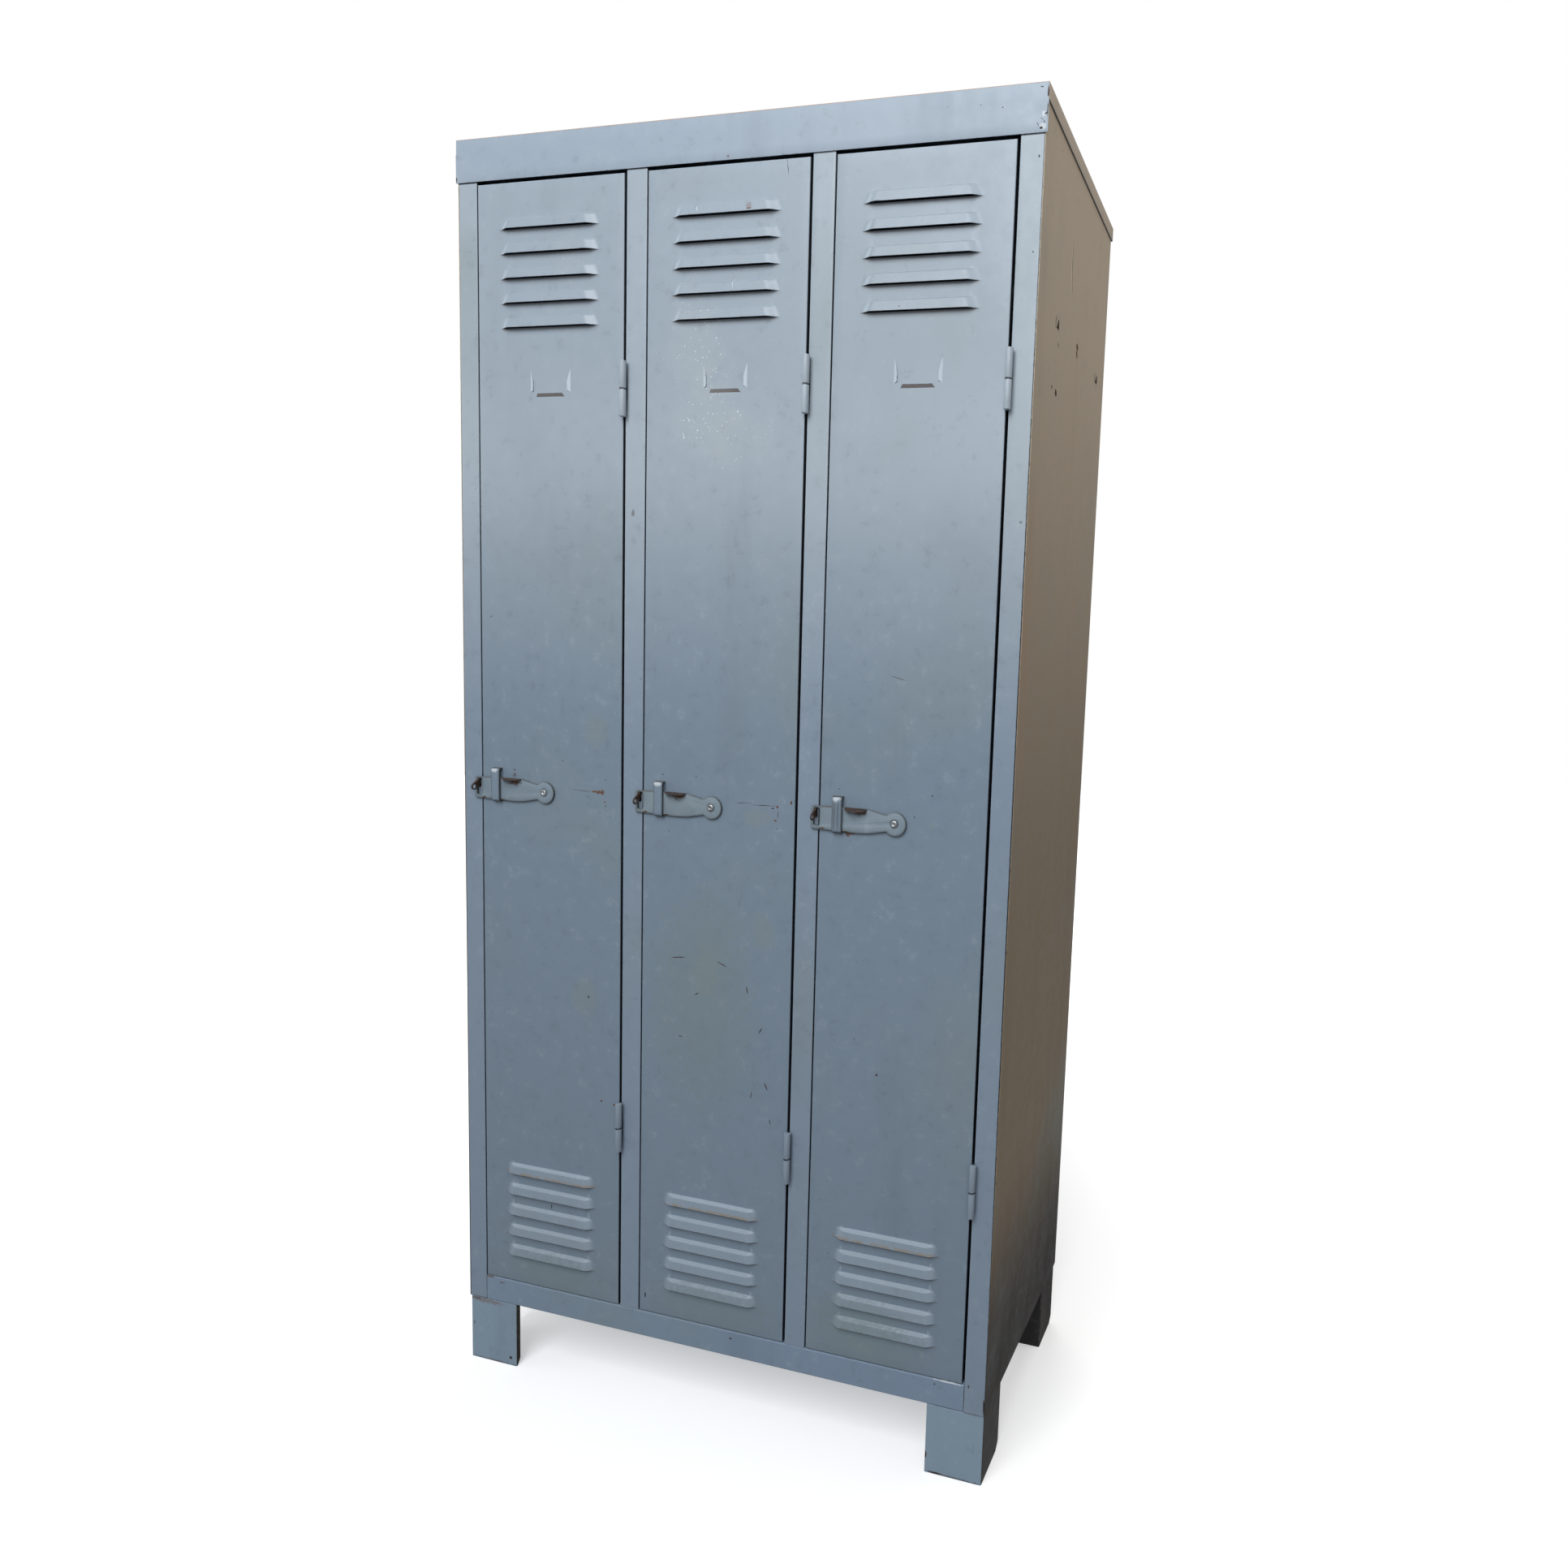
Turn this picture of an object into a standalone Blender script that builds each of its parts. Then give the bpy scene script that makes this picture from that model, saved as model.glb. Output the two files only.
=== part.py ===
"""Three-door steel school locker on sheet-metal feet.

The body is folded from thin sheet: a roof cap, corner posts, mullions, side
panels, partitions, a back and a floor tray whose front wall is the bottom
rail. Each louvred door hangs on two lift-off hinges at its right edge and is
held shut by a pivoted latch arm, whose slotted end drops over a catch plate
with a padlock hole.

Units are metres, +Z is up and the doors face -Y. The origin is on the floor,
under the centre of the bounding box. A "depth" is a distance behind the front
plane, the plane of the posts' faces, so pieces in front of it have a negative
depth.
"""
import math

import bmesh
import bpy
from mathutils import Matrix, Vector

# Body
WIDTH = 0.850
DEPTH = 0.398
HEIGHT = 1.812
BODY_BOTTOM = 0.103
SHEET = 0.001
GAP = 0.0003
BEND_RADIUS = 0.0018
BEND_SEGMENTS = 2

# Roof cap
FASCIA_HEIGHT = 0.057
CAP_FLANGE = 0.019
CAP_CLEARANCE = 0.0013

# Front frame
COLUMNS = 3
POST_WIDTH = 0.031
MULLION_WIDTH = 0.031
FRAME_DEPTH = 0.018
RAIL_HEIGHT = 0.0395
TRAY_RETURN = 0.012
TRAY_NOTCH_CLEARANCE = 0.0021
REAR_FOLD = 0.014
SIDE_PANEL_EDGE = 0.0004
STOP_REACH = 0.012
STOP_SHEET = 0.0015
STOP_END = 0.005

# Feet
FOOT_SHEET = 0.002
FOOT_WIDTH = 0.084
FOOT_WING = 0.0775
FOOT_RETURN = 0.008
FOOT_TOP_FLANGE = 0.060
FOOT_SETBACK = 0.0013
FOOT_CHAMFER = 0.010
REAR_FOOT_DEPTH = 0.313

# Shelves, their lanced tabs and the coat rails
SHELF_TOP = 1.590
SHELF_WALL = 0.0137
SHELF_FRONT = 0.022
TAB_DEPTHS = (0.098, 0.341)
TAB_WIDTH = 0.009
TAB_HEIGHT = 0.012
TAB_SLIT = 0.001
TAB_LEAN = 0.002
TAB_SKIN = 0.0001
COAT_RAIL_Z = 1.540
COAT_RAIL_DEPTH = 0.208
COAT_RAIL_RADIUS = 0.006
COAT_RAIL_FLANGE = 0.016
COAT_RAIL_FLANGE_SHEET = 0.002
COAT_RAIL_SEGMENTS = 14

# Doors
DOOR_GAP_LATCH = 0.002
DOOR_GAP_HINGE = 0.004
DOOR_GAP_TOP = 0.004
DOOR_GAP_BOTTOM = 0.0015
DOOR_DEPTH = 0.0175
DOOR_LIP = 0.012

# Louvres, by their lower edges
LOUVRES = 5
LOUVRE_PITCH = 0.0328
LOUVRE_TOP_ROW = 1.6889
LOUVRE_LOW_ROW = 0.3210
LOUVRE_WIDTH = 0.162
LOUVRE_OFFSET = -0.002
LOUVRE_HEIGHT = 0.018
LOUVRE_REACH = 0.0065
LOUVRE_SHOULDER = 0.007
LOUVRE_SHOULDER_REACH = 0.0052
LOUVRE_END = 0.006

# Card holder
CARD_Z = 1.486
CARD_HALF_WIDTH = 0.0325
CARD_FLAP_HEIGHT = 0.032
CARD_FLAP_WIDTH = 0.0045
CARD_FLAP_RISE = 0.002
CARD_FLAP_ROOT = 0.0003
CARD_FLAP_SPLAY = 0.0034
CARD_FOOT_WIDTH = 0.047
CARD_FOOT_DROP = 0.0215

# Hinges
HINGE_LEVELS = {"lower": 0.4245, "upper": 1.4710}
HINGE_AXIS_DEPTH = -0.0062
KNUCKLE_RADIUS = 0.0046
KNUCKLE_HEIGHT = 0.036
KNUCKLE_GAP = 0.001
KNUCKLE_SEGMENTS = 16
LEAF_SHEET = 0.002
LEAF_DEPTH = 0.0145
PIN_RADIUS = 0.003
PIN_REACH = 0.026
PIN_SEGMENTS = 12

# Latch, in the plane of the door and measured from the arm's pivot
PIVOT_X = 0.1115
PIVOT_Z = 0.909
ARM_STAND_OFF = 0.001
ARM_SHEET = 0.0025
ARM_HEAD_X = 0.0005
ARM_HEAD_RADIUS = 0.016
ARM_HEAD_STEPS = 16
ARM_NECK_ANGLE = 137
ARM_TOP_EDGE = ((-0.039, 0.0169), (-0.071, 0.0172), (-0.1205, 0.0158))
ARM_LOW_EDGE = ((-0.1205, -0.0154), (-0.072, -0.0163), (-0.054, -0.0167), (-0.036, -0.0157))
RIVET_RADIUS = 0.0025
RIVET_HEAD_RADIUS = 0.0047
RIVET_HEAD_RISE = 0.0018
RIVET_CROWN_RADIUS = 0.0028
RIVET_CROWN_STEPS = 3
RIVET_DIMPLE_RADIUS = 0.0012
RIVET_DIMPLE_DEPTH = 0.0010
RIVET_SEGMENTS = 16
SLOT_LEFT = -0.1167
SLOT_WIDTH = 0.0086
SLOT_LOW = -0.0105
SLOT_HIGH = 0.0136
SLOT_CORNER = 0.0015
THUMB_TAB_LEFT = -0.071
THUMB_TAB_WIDTH = 0.032
THUMB_TAB_REACH = 0.011
THUMB_TAB_Z = 0.015
THUMB_TAB_SHEET = 0.002
THUMB_TAB_DROOP = 0.2
THUMB_TAB_SQUARENESS = 0.6
THUMB_TAB_STEPS = 8
KEEPER_X = -0.0812
KEEPER_WIDTH = 0.014
KEEPER_LOW = -0.0185
KEEPER_HIGH = 0.031
KEEPER_REACH = 0.0077
KEEPER_SHEET = 0.002
KEEPER_CORNER = 0.0045
KEEPER_CORNER_STEPS = 3
CATCH_SHEET = 0.0023
CATCH_INSET = 0.0016
CATCH_HIGH = 0.0131
CATCH_TAIL = 0.008
CATCH_SHOULDER = 0.0045
CATCH_NOSE_DEPTH = -0.0115
CATCH_NOSE_Z = 0.0013
CATCH_NOSE_RADIUS = 0.005
PADLOCK_HOLE_RADIUS = 0.0032

# Worked out from the driving dimensions
INNER_HALF_WIDTH = WIDTH / 2 - SHEET - GAP
BODY_TOP = HEIGHT - SHEET - GAP
RAIL_TOP = BODY_BOTTOM + RAIL_HEIGHT
OPENING_TOP = HEIGHT - FASCIA_HEIGHT
OPENING_WIDTH = (WIDTH - 2 * POST_WIDTH - (COLUMNS - 1) * MULLION_WIDTH) / COLUMNS
COLUMN_PITCH = OPENING_WIDTH + MULLION_WIDTH
BACK_DEPTH = DEPTH - SHEET - GAP
INNER_BACK = BACK_DEPTH - SHEET - GAP
ARM_FRONT = -(ARM_STAND_OFF + ARM_SHEET)
FRONT_REACH = CATCH_NOSE_RADIUS - CATCH_NOSE_DEPTH
REAR_REACH = DEPTH + CAP_CLEARANCE + SHEET
CAP_HALF_WIDTH = WIDTH / 2 + CAP_CLEARANCE + SHEET
FRONT_Y = (FRONT_REACH - REAR_REACH) / 2

# Colour, roughness and metallic value of each finish
PAINT = ((0.250, 0.315, 0.375), 0.48, 0.0)
BRIGHT_STEEL = ((0.52, 0.53, 0.54), 0.34, 1.0)
DARK_STEEL = ((0.085, 0.070, 0.062), 0.62, 0.85)


def clear_scene():
    for item in list(bpy.data.objects):
        bpy.data.objects.remove(item, do_unlink=True)


def at(x, depth, z):
    return Vector((x, FRONT_Y + depth, z))


def opening_left(column):
    """X of the left edge of a door opening."""
    return -WIDTH / 2 + POST_WIDTH + column * COLUMN_PITCH


def hinge_x(column):
    return opening_left(column) + OPENING_WIDTH


def pivot_x(column):
    return opening_left(column) + PIVOT_X


def make_material(name, finish):
    colour, roughness, metallic = finish
    material = bpy.data.materials.new(name)
    material.use_nodes = True
    shader = material.node_tree.nodes["Principled BSDF"]
    shader.inputs["Base Color"].default_value = (*colour, 1.0)
    shader.inputs["Roughness"].default_value = roughness
    shader.inputs["Metallic"].default_value = metallic
    return material


def add_object(name, bm, finish=PAINT, origin=(0, 0, 0), parent=None):
    """Turn a bmesh in world coordinates into an object whose origin is given."""
    bmesh.ops.translate(bm, vec=-Vector(origin), verts=bm.verts)
    mesh = bpy.data.meshes.new(name)
    bm.to_mesh(mesh)
    bm.free()
    item = bpy.data.objects.new(name, mesh)
    bpy.context.scene.collection.objects.link(item)
    item.location = origin
    if parent:
        item.parent = parent
        item.location = Vector(origin) - parent.location
    mesh.materials.append(make_material(name, finish))
    return item


def face_outward(bm, face, direction):
    """Make an open sheet's normals agree, and point one face's as asked."""
    bmesh.ops.recalc_face_normals(bm, faces=bm.faces)
    face.normal_update()
    if face.normal.dot(Vector(direction)) < 0:
        bmesh.ops.reverse_faces(bm, faces=bm.faces)


def bend_and_thicken(item, sheet=SHEET):
    """Round a sheet's folds and thicken it inward from its outer surface."""
    bend = item.modifiers.new("bend", 'BEVEL')
    bend.width = BEND_RADIUS
    bend.segments = BEND_SEGMENTS
    bend.limit_method = 'ANGLE'
    thicken(item, sheet)


def thicken(item, sheet=SHEET):
    solid = item.modifiers.new("sheet", 'SOLIDIFY')
    solid.thickness = sheet
    solid.offset = -1.0
    solid.use_even_offset = True


def shade_round(item, angle=40):
    item.data.shade_smooth()
    item.data.set_sharp_from_angle(angle=math.radians(angle))


def combine(item, tool, operation):
    """Cut a tool from an object or join it on, then throw the tool away."""
    boolean = item.modifiers.new("combine", 'BOOLEAN')
    boolean.operation = operation
    boolean.solver = 'EXACT'
    boolean.object = tool
    graph = bpy.context.evaluated_depsgraph_get()
    mesh = bpy.data.meshes.new_from_object(item.evaluated_get(graph))
    item.modifiers.clear()
    item.data = mesh
    bpy.data.objects.remove(tool, do_unlink=True)


def box_mesh(low, high):
    """A box from two corners, given as x, depth, z."""
    low = at(*low)
    high = at(*high)
    bm = bmesh.new()
    bmesh.ops.create_cube(bm, size=1.0)
    bmesh.ops.scale(bm, vec=high - low, verts=bm.verts)
    bmesh.ops.translate(bm, vec=(low + high) / 2, verts=bm.verts)
    return bm


def extrude_outline(outlines, place, along):
    """Fill an outline, with any holes after it, and extrude it into a solid.

    place turns an outline's pair of numbers into a point.
    """
    bm = bmesh.new()
    for outline in outlines:
        ring = [bm.verts.new(place(*pair)) for pair in outline]
        for first, second in zip(ring, ring[1:] + ring[:1]):
            bm.edges.new((first, second))
    bmesh.ops.triangle_fill(bm, edges=bm.edges, use_beauty=True)
    grown = bmesh.ops.extrude_face_region(bm, geom=bm.faces[:])
    moved = [part for part in grown["geom"] if isinstance(part, bmesh.types.BMVert)]
    bmesh.ops.translate(bm, vec=along, verts=moved)
    bmesh.ops.recalc_face_normals(bm, faces=bm.faces)
    return bm


def turn_profile(profile, centre, axis, segments):
    """Spin a profile of (radius, distance along axis) pairs into a closed solid."""
    axis = Vector(axis)
    side = axis.orthogonal().normalized()
    bm = bmesh.new()
    rings = []
    for radius, along in profile:
        middle = Vector(centre) + axis * along
        if radius == 0:
            rings.append([bm.verts.new(middle)])
            continue
        angles = [2 * math.pi * step / segments for step in range(segments)]
        turns = [Matrix.Rotation(angle, 3, axis) for angle in angles]
        rings.append([bm.verts.new(middle + turn @ side * radius) for turn in turns])
    for ring, following in zip(rings, rings[1:]):
        for step in range(segments):
            after = (step + 1) % segments
            corners = [ring[step % len(ring)], ring[after % len(ring)],
                       following[after % len(following)], following[step % len(following)]]
            bm.faces.new(list(dict.fromkeys(corners)))
    bmesh.ops.recalc_face_normals(bm, faces=bm.faces)
    return bm


def arc(centre, radius, start, end, steps):
    """Points on an arc in a plane, by angles in degrees."""
    angles = [math.radians(start + (end - start) * step / steps) for step in range(steps + 1)]
    return [(centre[0] + radius * math.cos(a), centre[1] + radius * math.sin(a)) for a in angles]


def folded_strip(name, path, bottom, top):
    """An upright folded sheet. path is its outer surface as (x, depth), with the outside on its right."""
    bm = bmesh.new()
    low = [bm.verts.new(at(x, depth, bottom)) for x, depth in path]
    high = [bm.verts.new(at(x, depth, top)) for x, depth in path]
    for index in range(len(path) - 1):
        bm.faces.new((low[index], low[index + 1], high[index + 1], high[index]))
    item = add_object(name, bm)
    bend_and_thicken(item)
    return item


def offset_outline(outline, distance):
    """Move a right-angled outline inward; it runs anticlockwise."""
    count = len(outline)
    moved = []
    for index, corner in enumerate(outline):
        before = (Vector(corner) - Vector(outline[index - 1])).normalized()
        after = (Vector(outline[(index + 1) % count]) - Vector(corner)).normalized()
        inward = Vector((-before.y, before.x)) + Vector((-after.y, after.x))
        moved.append(tuple(Vector(corner) + inward * distance))
    return moved


def pan(name, outline, top, wall, lip=0.0):
    """A tray turned upside down: a sheet with walls down all round and a lip turned in."""
    bm = bmesh.new()
    rings = [[bm.verts.new(at(x, depth, top)) for x, depth in outline]]
    rings.append([bm.verts.new(at(x, depth, top - wall)) for x, depth in outline])
    if lip:
        inner = offset_outline(outline, lip)
        rings.append([bm.verts.new(at(x, depth, top - wall)) for x, depth in inner])
    sheet = bm.faces.new(rings[0])
    count = len(outline)
    for upper, lower in zip(rings, rings[1:]):
        for index in range(count):
            after = (index + 1) % count
            bm.faces.new((upper[index], upper[after], lower[after], lower[index]))
    face_outward(bm, sheet, (0, 0, 1))
    item = add_object(name, bm)
    bend_and_thicken(item)
    return item


# Body

def build_roof_cap():
    """The roof sheet with the fascia folded down from its front edge."""
    front = -(GAP + SHEET)
    corners = [(-CAP_HALF_WIDTH, front), (CAP_HALF_WIDTH, front)]
    corners += [(CAP_HALF_WIDTH, REAR_REACH), (-CAP_HALF_WIDTH, REAR_REACH)]
    bm = bmesh.new()
    top = [bm.verts.new(at(x, depth, HEIGHT)) for x, depth in corners]
    fascia = [bm.verts.new(at(x, depth, OPENING_TOP)) for x, depth in corners[:2]]
    roof = bm.faces.new(top)
    bm.faces.new((top[0], top[1], fascia[1], fascia[0]))
    face_outward(bm, roof, (0, 0, 1))
    item = add_object("roof_cap", bm)
    bend_and_thicken(item)


def build_roof_edges():
    """The cap's side and rear edges, each a strip under the roof sheet."""
    bottom = HEIGHT - CAP_FLANGE
    inner = CAP_HALF_WIDTH - SHEET
    rear = REAR_REACH - SHEET
    left = box_mesh((-CAP_HALF_WIDTH, 0, bottom), (-inner, rear - GAP, BODY_TOP))
    right = box_mesh((inner, 0, bottom), (CAP_HALF_WIDTH, rear - GAP, BODY_TOP))
    back = box_mesh((-CAP_HALF_WIDTH, rear, bottom), (CAP_HALF_WIDTH, REAR_REACH, BODY_TOP))
    add_object("roof_left_edge", left)
    add_object("roof_right_edge", right)
    add_object("roof_rear_edge", back)


def cut_catch_slot(item, column):
    """Cut the slot in a post's or mullion's face that the catch plate passes through."""
    right = opening_left(column) - CATCH_INSET + GAP
    left = right - CATCH_SHEET - 2 * GAP
    low = (left, -SHEET, PIVOT_Z - GAP)
    high = (right, 2 * SHEET, PIVOT_Z + CATCH_HIGH + GAP)
    combine(item, add_object("slot_cutter", box_mesh(low, high)), 'DIFFERENCE')


def build_posts():
    inner = WIDTH / 2 - POST_WIDTH
    sides = (("left_post", -INNER_HALF_WIDTH, -inner), ("right_post", inner, INNER_HALF_WIDTH))
    for name, left, right in sides:
        path = [(left, FRAME_DEPTH), (left, 0), (right, 0), (right, FRAME_DEPTH)]
        post = folded_strip(name, path, BODY_BOTTOM, BODY_TOP)
        if name == "left_post":
            cut_catch_slot(post, 0)


def build_mullions_and_partitions():
    for column in range(1, COLUMNS):
        right = opening_left(column)
        left = right - MULLION_WIDTH
        path = [(left, FRAME_DEPTH), (left, 0), (right, 0), (right, FRAME_DEPTH)]
        mullion = folded_strip(f"mullion_{column}", path, RAIL_TOP + GAP, BODY_TOP)
        cut_catch_slot(mullion, column)
        centre = partition_x(column)
        low = (centre - SHEET / 2, SHEET + GAP, RAIL_TOP + GAP)
        high = (centre + SHEET / 2, INNER_BACK, BODY_TOP)
        add_object(f"partition_{column}", box_mesh(low, high))


def partition_x(column):
    """X of the partition on the left of a column."""
    return opening_left(column) - MULLION_WIDTH / 2


def column_walls(column):
    """The clear x range of a column, between the sheets on its two sides."""
    left = -INNER_HALF_WIDTH if column == 0 else partition_x(column) + SHEET / 2 + GAP
    right = INNER_HALF_WIDTH if column == COLUMNS - 1 else partition_x(column + 1) - SHEET / 2 - GAP
    return left, right


def leaning_tab(side, depth):
    """A shelf tab, lanced from a side panel and pushed inward at its top."""
    bottom = SHELF_TOP - SHELF_WALL - GAP - TAB_HEIGHT
    outer = side * (WIDTH / 2 - TAB_SKIN)
    inner = side * (WIDTH / 2 - SHEET + TAB_SKIN)
    low = (min(outer, inner), depth - TAB_WIDTH / 2, bottom - TAB_SLIT)
    high = (max(outer, inner), depth + TAB_WIDTH / 2, bottom + TAB_HEIGHT)
    bm = box_mesh(low, high)
    upper = [vert for vert in bm.verts if vert.co.z > bottom]
    bmesh.ops.translate(bm, vec=(-side * TAB_LEAN, 0, 0), verts=upper)
    return bm


def build_side_panels():
    outside = WIDTH / 2
    fold = outside - REAR_FOLD
    left_path = [(-fold, DEPTH), (-outside, DEPTH), (-outside, SIDE_PANEL_EDGE)]
    right_path = [(outside, SIDE_PANEL_EDGE), (outside, DEPTH), (fold, DEPTH)]
    window_low = SHELF_TOP - SHELF_WALL - GAP - TAB_HEIGHT
    sides = (("left_side_panel", -1, left_path), ("right_side_panel", 1, right_path))
    for name, side, path in sides:
        panel = folded_strip(name, path, BODY_BOTTOM, BODY_TOP)
        for depth in TAB_DEPTHS:
            reach = TAB_WIDTH / 2 + TAB_SLIT
            low = (side * outside - 2 * SHEET, depth - reach, window_low)
            high = (side * outside + 2 * SHEET, depth + reach, window_low + TAB_HEIGHT + TAB_SLIT)
            combine(panel, add_object("window_cutter", box_mesh(low, high)), 'DIFFERENCE')
            combine(panel, add_object("tab", leaning_tab(side, depth)), 'UNION')


def build_back_and_floor():
    low = (-INNER_HALF_WIDTH, BACK_DEPTH - SHEET, BODY_BOTTOM)
    high = (INNER_HALF_WIDTH, BACK_DEPTH, BODY_TOP)
    add_object("back_panel", box_mesh(low, high))
    rail_end = WIDTH / 2 - POST_WIDTH - GAP
    behind_post = FRAME_DEPTH + TRAY_NOTCH_CLEARANCE
    outline = [(-rail_end, 0), (rail_end, 0), (rail_end, behind_post), (INNER_HALF_WIDTH, behind_post),
               (INNER_HALF_WIDTH, INNER_BACK), (-INNER_HALF_WIDTH, INNER_BACK),
               (-INNER_HALF_WIDTH, behind_post), (-rail_end, behind_post)]
    pan("floor_tray", outline, RAIL_TOP, RAIL_HEIGHT, TRAY_RETURN)


def build_foot(name, side, front):
    """A folded foot: face, outer wing, narrow inner return and a flange on top."""
    outer = side * INNER_HALF_WIDTH
    inner = side * (INNER_HALF_WIDTH - FOOT_WIDTH)
    top = BODY_BOTTOM - GAP
    rear = front + FOOT_WING
    bm = bmesh.new()

    def vert(x, depth, z):
        return bm.verts.new(at(x, depth, z))

    face_low = [vert(inner, front, 0), vert(outer, front, 0)]
    face_high = [vert(outer, front, top), vert(inner, front, top)]
    wing_low = [vert(outer, rear - FOOT_CHAMFER, 0), vert(outer, rear, FOOT_CHAMFER)]
    wing_top = vert(outer, rear, top)
    flange = [vert(outer, front + FOOT_TOP_FLANGE, top), vert(inner, front + FOOT_TOP_FLANGE, top)]
    return_top = vert(inner, front + FOOT_RETURN, top)
    return_low = [vert(inner, front + FOOT_RETURN, FOOT_CHAMFER), vert(inner, front + FOOT_SHEET, 0)]
    face = bm.faces.new(face_low + face_high)
    bm.faces.new([face_high[0], face_low[1]] + wing_low + [wing_top, flange[0]])
    bm.faces.new([face_high[1], face_high[0]] + flange + [return_top])
    bm.faces.new([face_low[0], face_high[1], return_top] + return_low)
    face_outward(bm, face, (0, -1, 0))
    foot = add_object(name, bm)
    bend_and_thicken(foot, FOOT_SHEET)


def build_feet():
    for row, front in (("front", FOOT_SETBACK), ("rear", REAR_FOOT_DEPTH)):
        for side_name, side in (("left", -1), ("right", 1)):
            build_foot(f"{row}_{side_name}_foot", side, front)


def build_shelves_and_rails():
    for column in range(COLUMNS):
        left, right = column_walls(column)
        outline = [(left, SHELF_FRONT), (right, SHELF_FRONT), (right, INNER_BACK), (left, INNER_BACK)]
        pan(f"hat_shelf_{column + 1}", outline, SHELF_TOP, SHELF_WALL)
        length = right - left
        far_flange = length - COAT_RAIL_FLANGE_SHEET
        profile = [(0, 0), (COAT_RAIL_FLANGE, 0), (COAT_RAIL_FLANGE, COAT_RAIL_FLANGE_SHEET),
                   (COAT_RAIL_RADIUS, COAT_RAIL_FLANGE_SHEET), (COAT_RAIL_RADIUS, far_flange),
                   (COAT_RAIL_FLANGE, far_flange), (COAT_RAIL_FLANGE, length), (0, length)]
        bm = turn_profile(profile, at(left, COAT_RAIL_DEPTH, COAT_RAIL_Z), (1, 0, 0), COAT_RAIL_SEGMENTS)
        rail = add_object(f"coat_rail_{column + 1}", bm, BRIGHT_STEEL)
        shade_round(rail)


def build_door_stops():
    for column in range(COLUMNS):
        middle = opening_left(column)
        low = (middle - STOP_REACH, FRAME_DEPTH + GAP, RAIL_TOP + STOP_END)
        high = (middle + STOP_REACH, FRAME_DEPTH + GAP + STOP_SHEET, OPENING_TOP - STOP_END)
        add_object(f"door_stop_{column + 1}", box_mesh(low, high))


# Doors

def louvre_levels():
    """Heights of all louvres' lower edges, from the floor up."""
    rows = [LOUVRE_LOW_ROW - step * LOUVRE_PITCH for step in range(LOUVRES)]
    rows += [LOUVRE_TOP_ROW - step * LOUVRE_PITCH for step in range(LOUVRES)]
    return sorted(rows)


def build_door_sheet(name, column, origin):
    """The door's pan. Each louvre is a hood that is free along its lower edge."""
    left = opening_left(column) + DOOR_GAP_LATCH
    right = hinge_x(column) - DOOR_GAP_HINGE
    bottom = RAIL_TOP + DOOR_GAP_BOTTOM
    top_edge = OPENING_TOP - DOOR_GAP_TOP
    middle = opening_left(column) + OPENING_WIDTH / 2 + LOUVRE_OFFSET
    hood_left = middle - LOUVRE_WIDTH / 2
    hood_right = middle + LOUVRE_WIDTH / 2
    columns = [hood_left, hood_left + LOUVRE_END, hood_right - LOUVRE_END, hood_right]
    bm = bmesh.new()

    def row(z, reach):
        """Four vertices across a louvre; the two in the middle stand out by reach."""
        return [bm.verts.new(at(x, -rise, z)) for x, rise in zip(columns, (0, reach, reach, 0))]

    def join(low, high):
        for index in range(len(columns) - 1):
            bm.faces.new((low[index], low[index + 1], high[index + 1], high[index]))

    left_side = []
    right_side = []
    edges = []
    tops = []
    for level in louvre_levels():
        edge = row(level, 0)
        if tops:
            join(tops[-1], edge)
        lip = [edge[0]] + [bm.verts.new(at(x, -LOUVRE_REACH, level)) for x in columns[1:3]] + [edge[3]]
        shoulder = row(level + LOUVRE_SHOULDER, LOUVRE_SHOULDER_REACH)
        top = row(level + LOUVRE_HEIGHT, 0)
        join(lip, shoulder)
        join(shoulder, top)
        edges.append(edge)
        tops.append(top)
        left_side += [edge[0], shoulder[0], top[0]]
        right_side += [edge[3], shoulder[3], top[3]]

    corners = [(left, bottom), (right, bottom), (right, top_edge), (left, top_edge)]
    rim = [bm.verts.new(at(x, 0, z)) for x, z in corners]
    sheet = bm.faces.new([rim[0], rim[1]] + edges[0][::-1])
    bm.faces.new([rim[1], rim[2]] + right_side[::-1])
    bm.faces.new([rim[2], rim[3]] + tops[-1])
    bm.faces.new([rim[3], rim[0]] + left_side)
    back = [bm.verts.new(at(x, DOOR_DEPTH, z)) for x, z in corners]
    lip_points = offset_outline(corners, DOOR_LIP)
    lips = [bm.verts.new(at(x, DOOR_DEPTH, z)) for x, z in lip_points]
    for near, far in ((rim, back), (back, lips)):
        for index in range(4):
            after = (index + 1) % 4
            bm.faces.new((near[index], near[after], far[after], far[index]))
    face_outward(bm, sheet, (0, -1, 0))
    door = add_object(name, bm, origin=origin)
    thicken(door)
    return door


def wedge(corners, rises):
    """A card flap: a quadrilateral on the door whose corners stand out by the given rises."""
    bm = bmesh.new()
    inside = [bm.verts.new(at(x, SHEET / 2, z)) for x, z in corners]
    outside = [bm.verts.new(at(x, -rise, z)) for (x, z), rise in zip(corners, rises)]
    bm.faces.new(inside)
    bm.faces.new(outside[::-1])
    for index in range(4):
        after = (index + 1) % 4
        bm.faces.new((inside[index], outside[index], outside[after], inside[after]))
    bmesh.ops.recalc_face_normals(bm, faces=bm.faces)
    return bm


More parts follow.
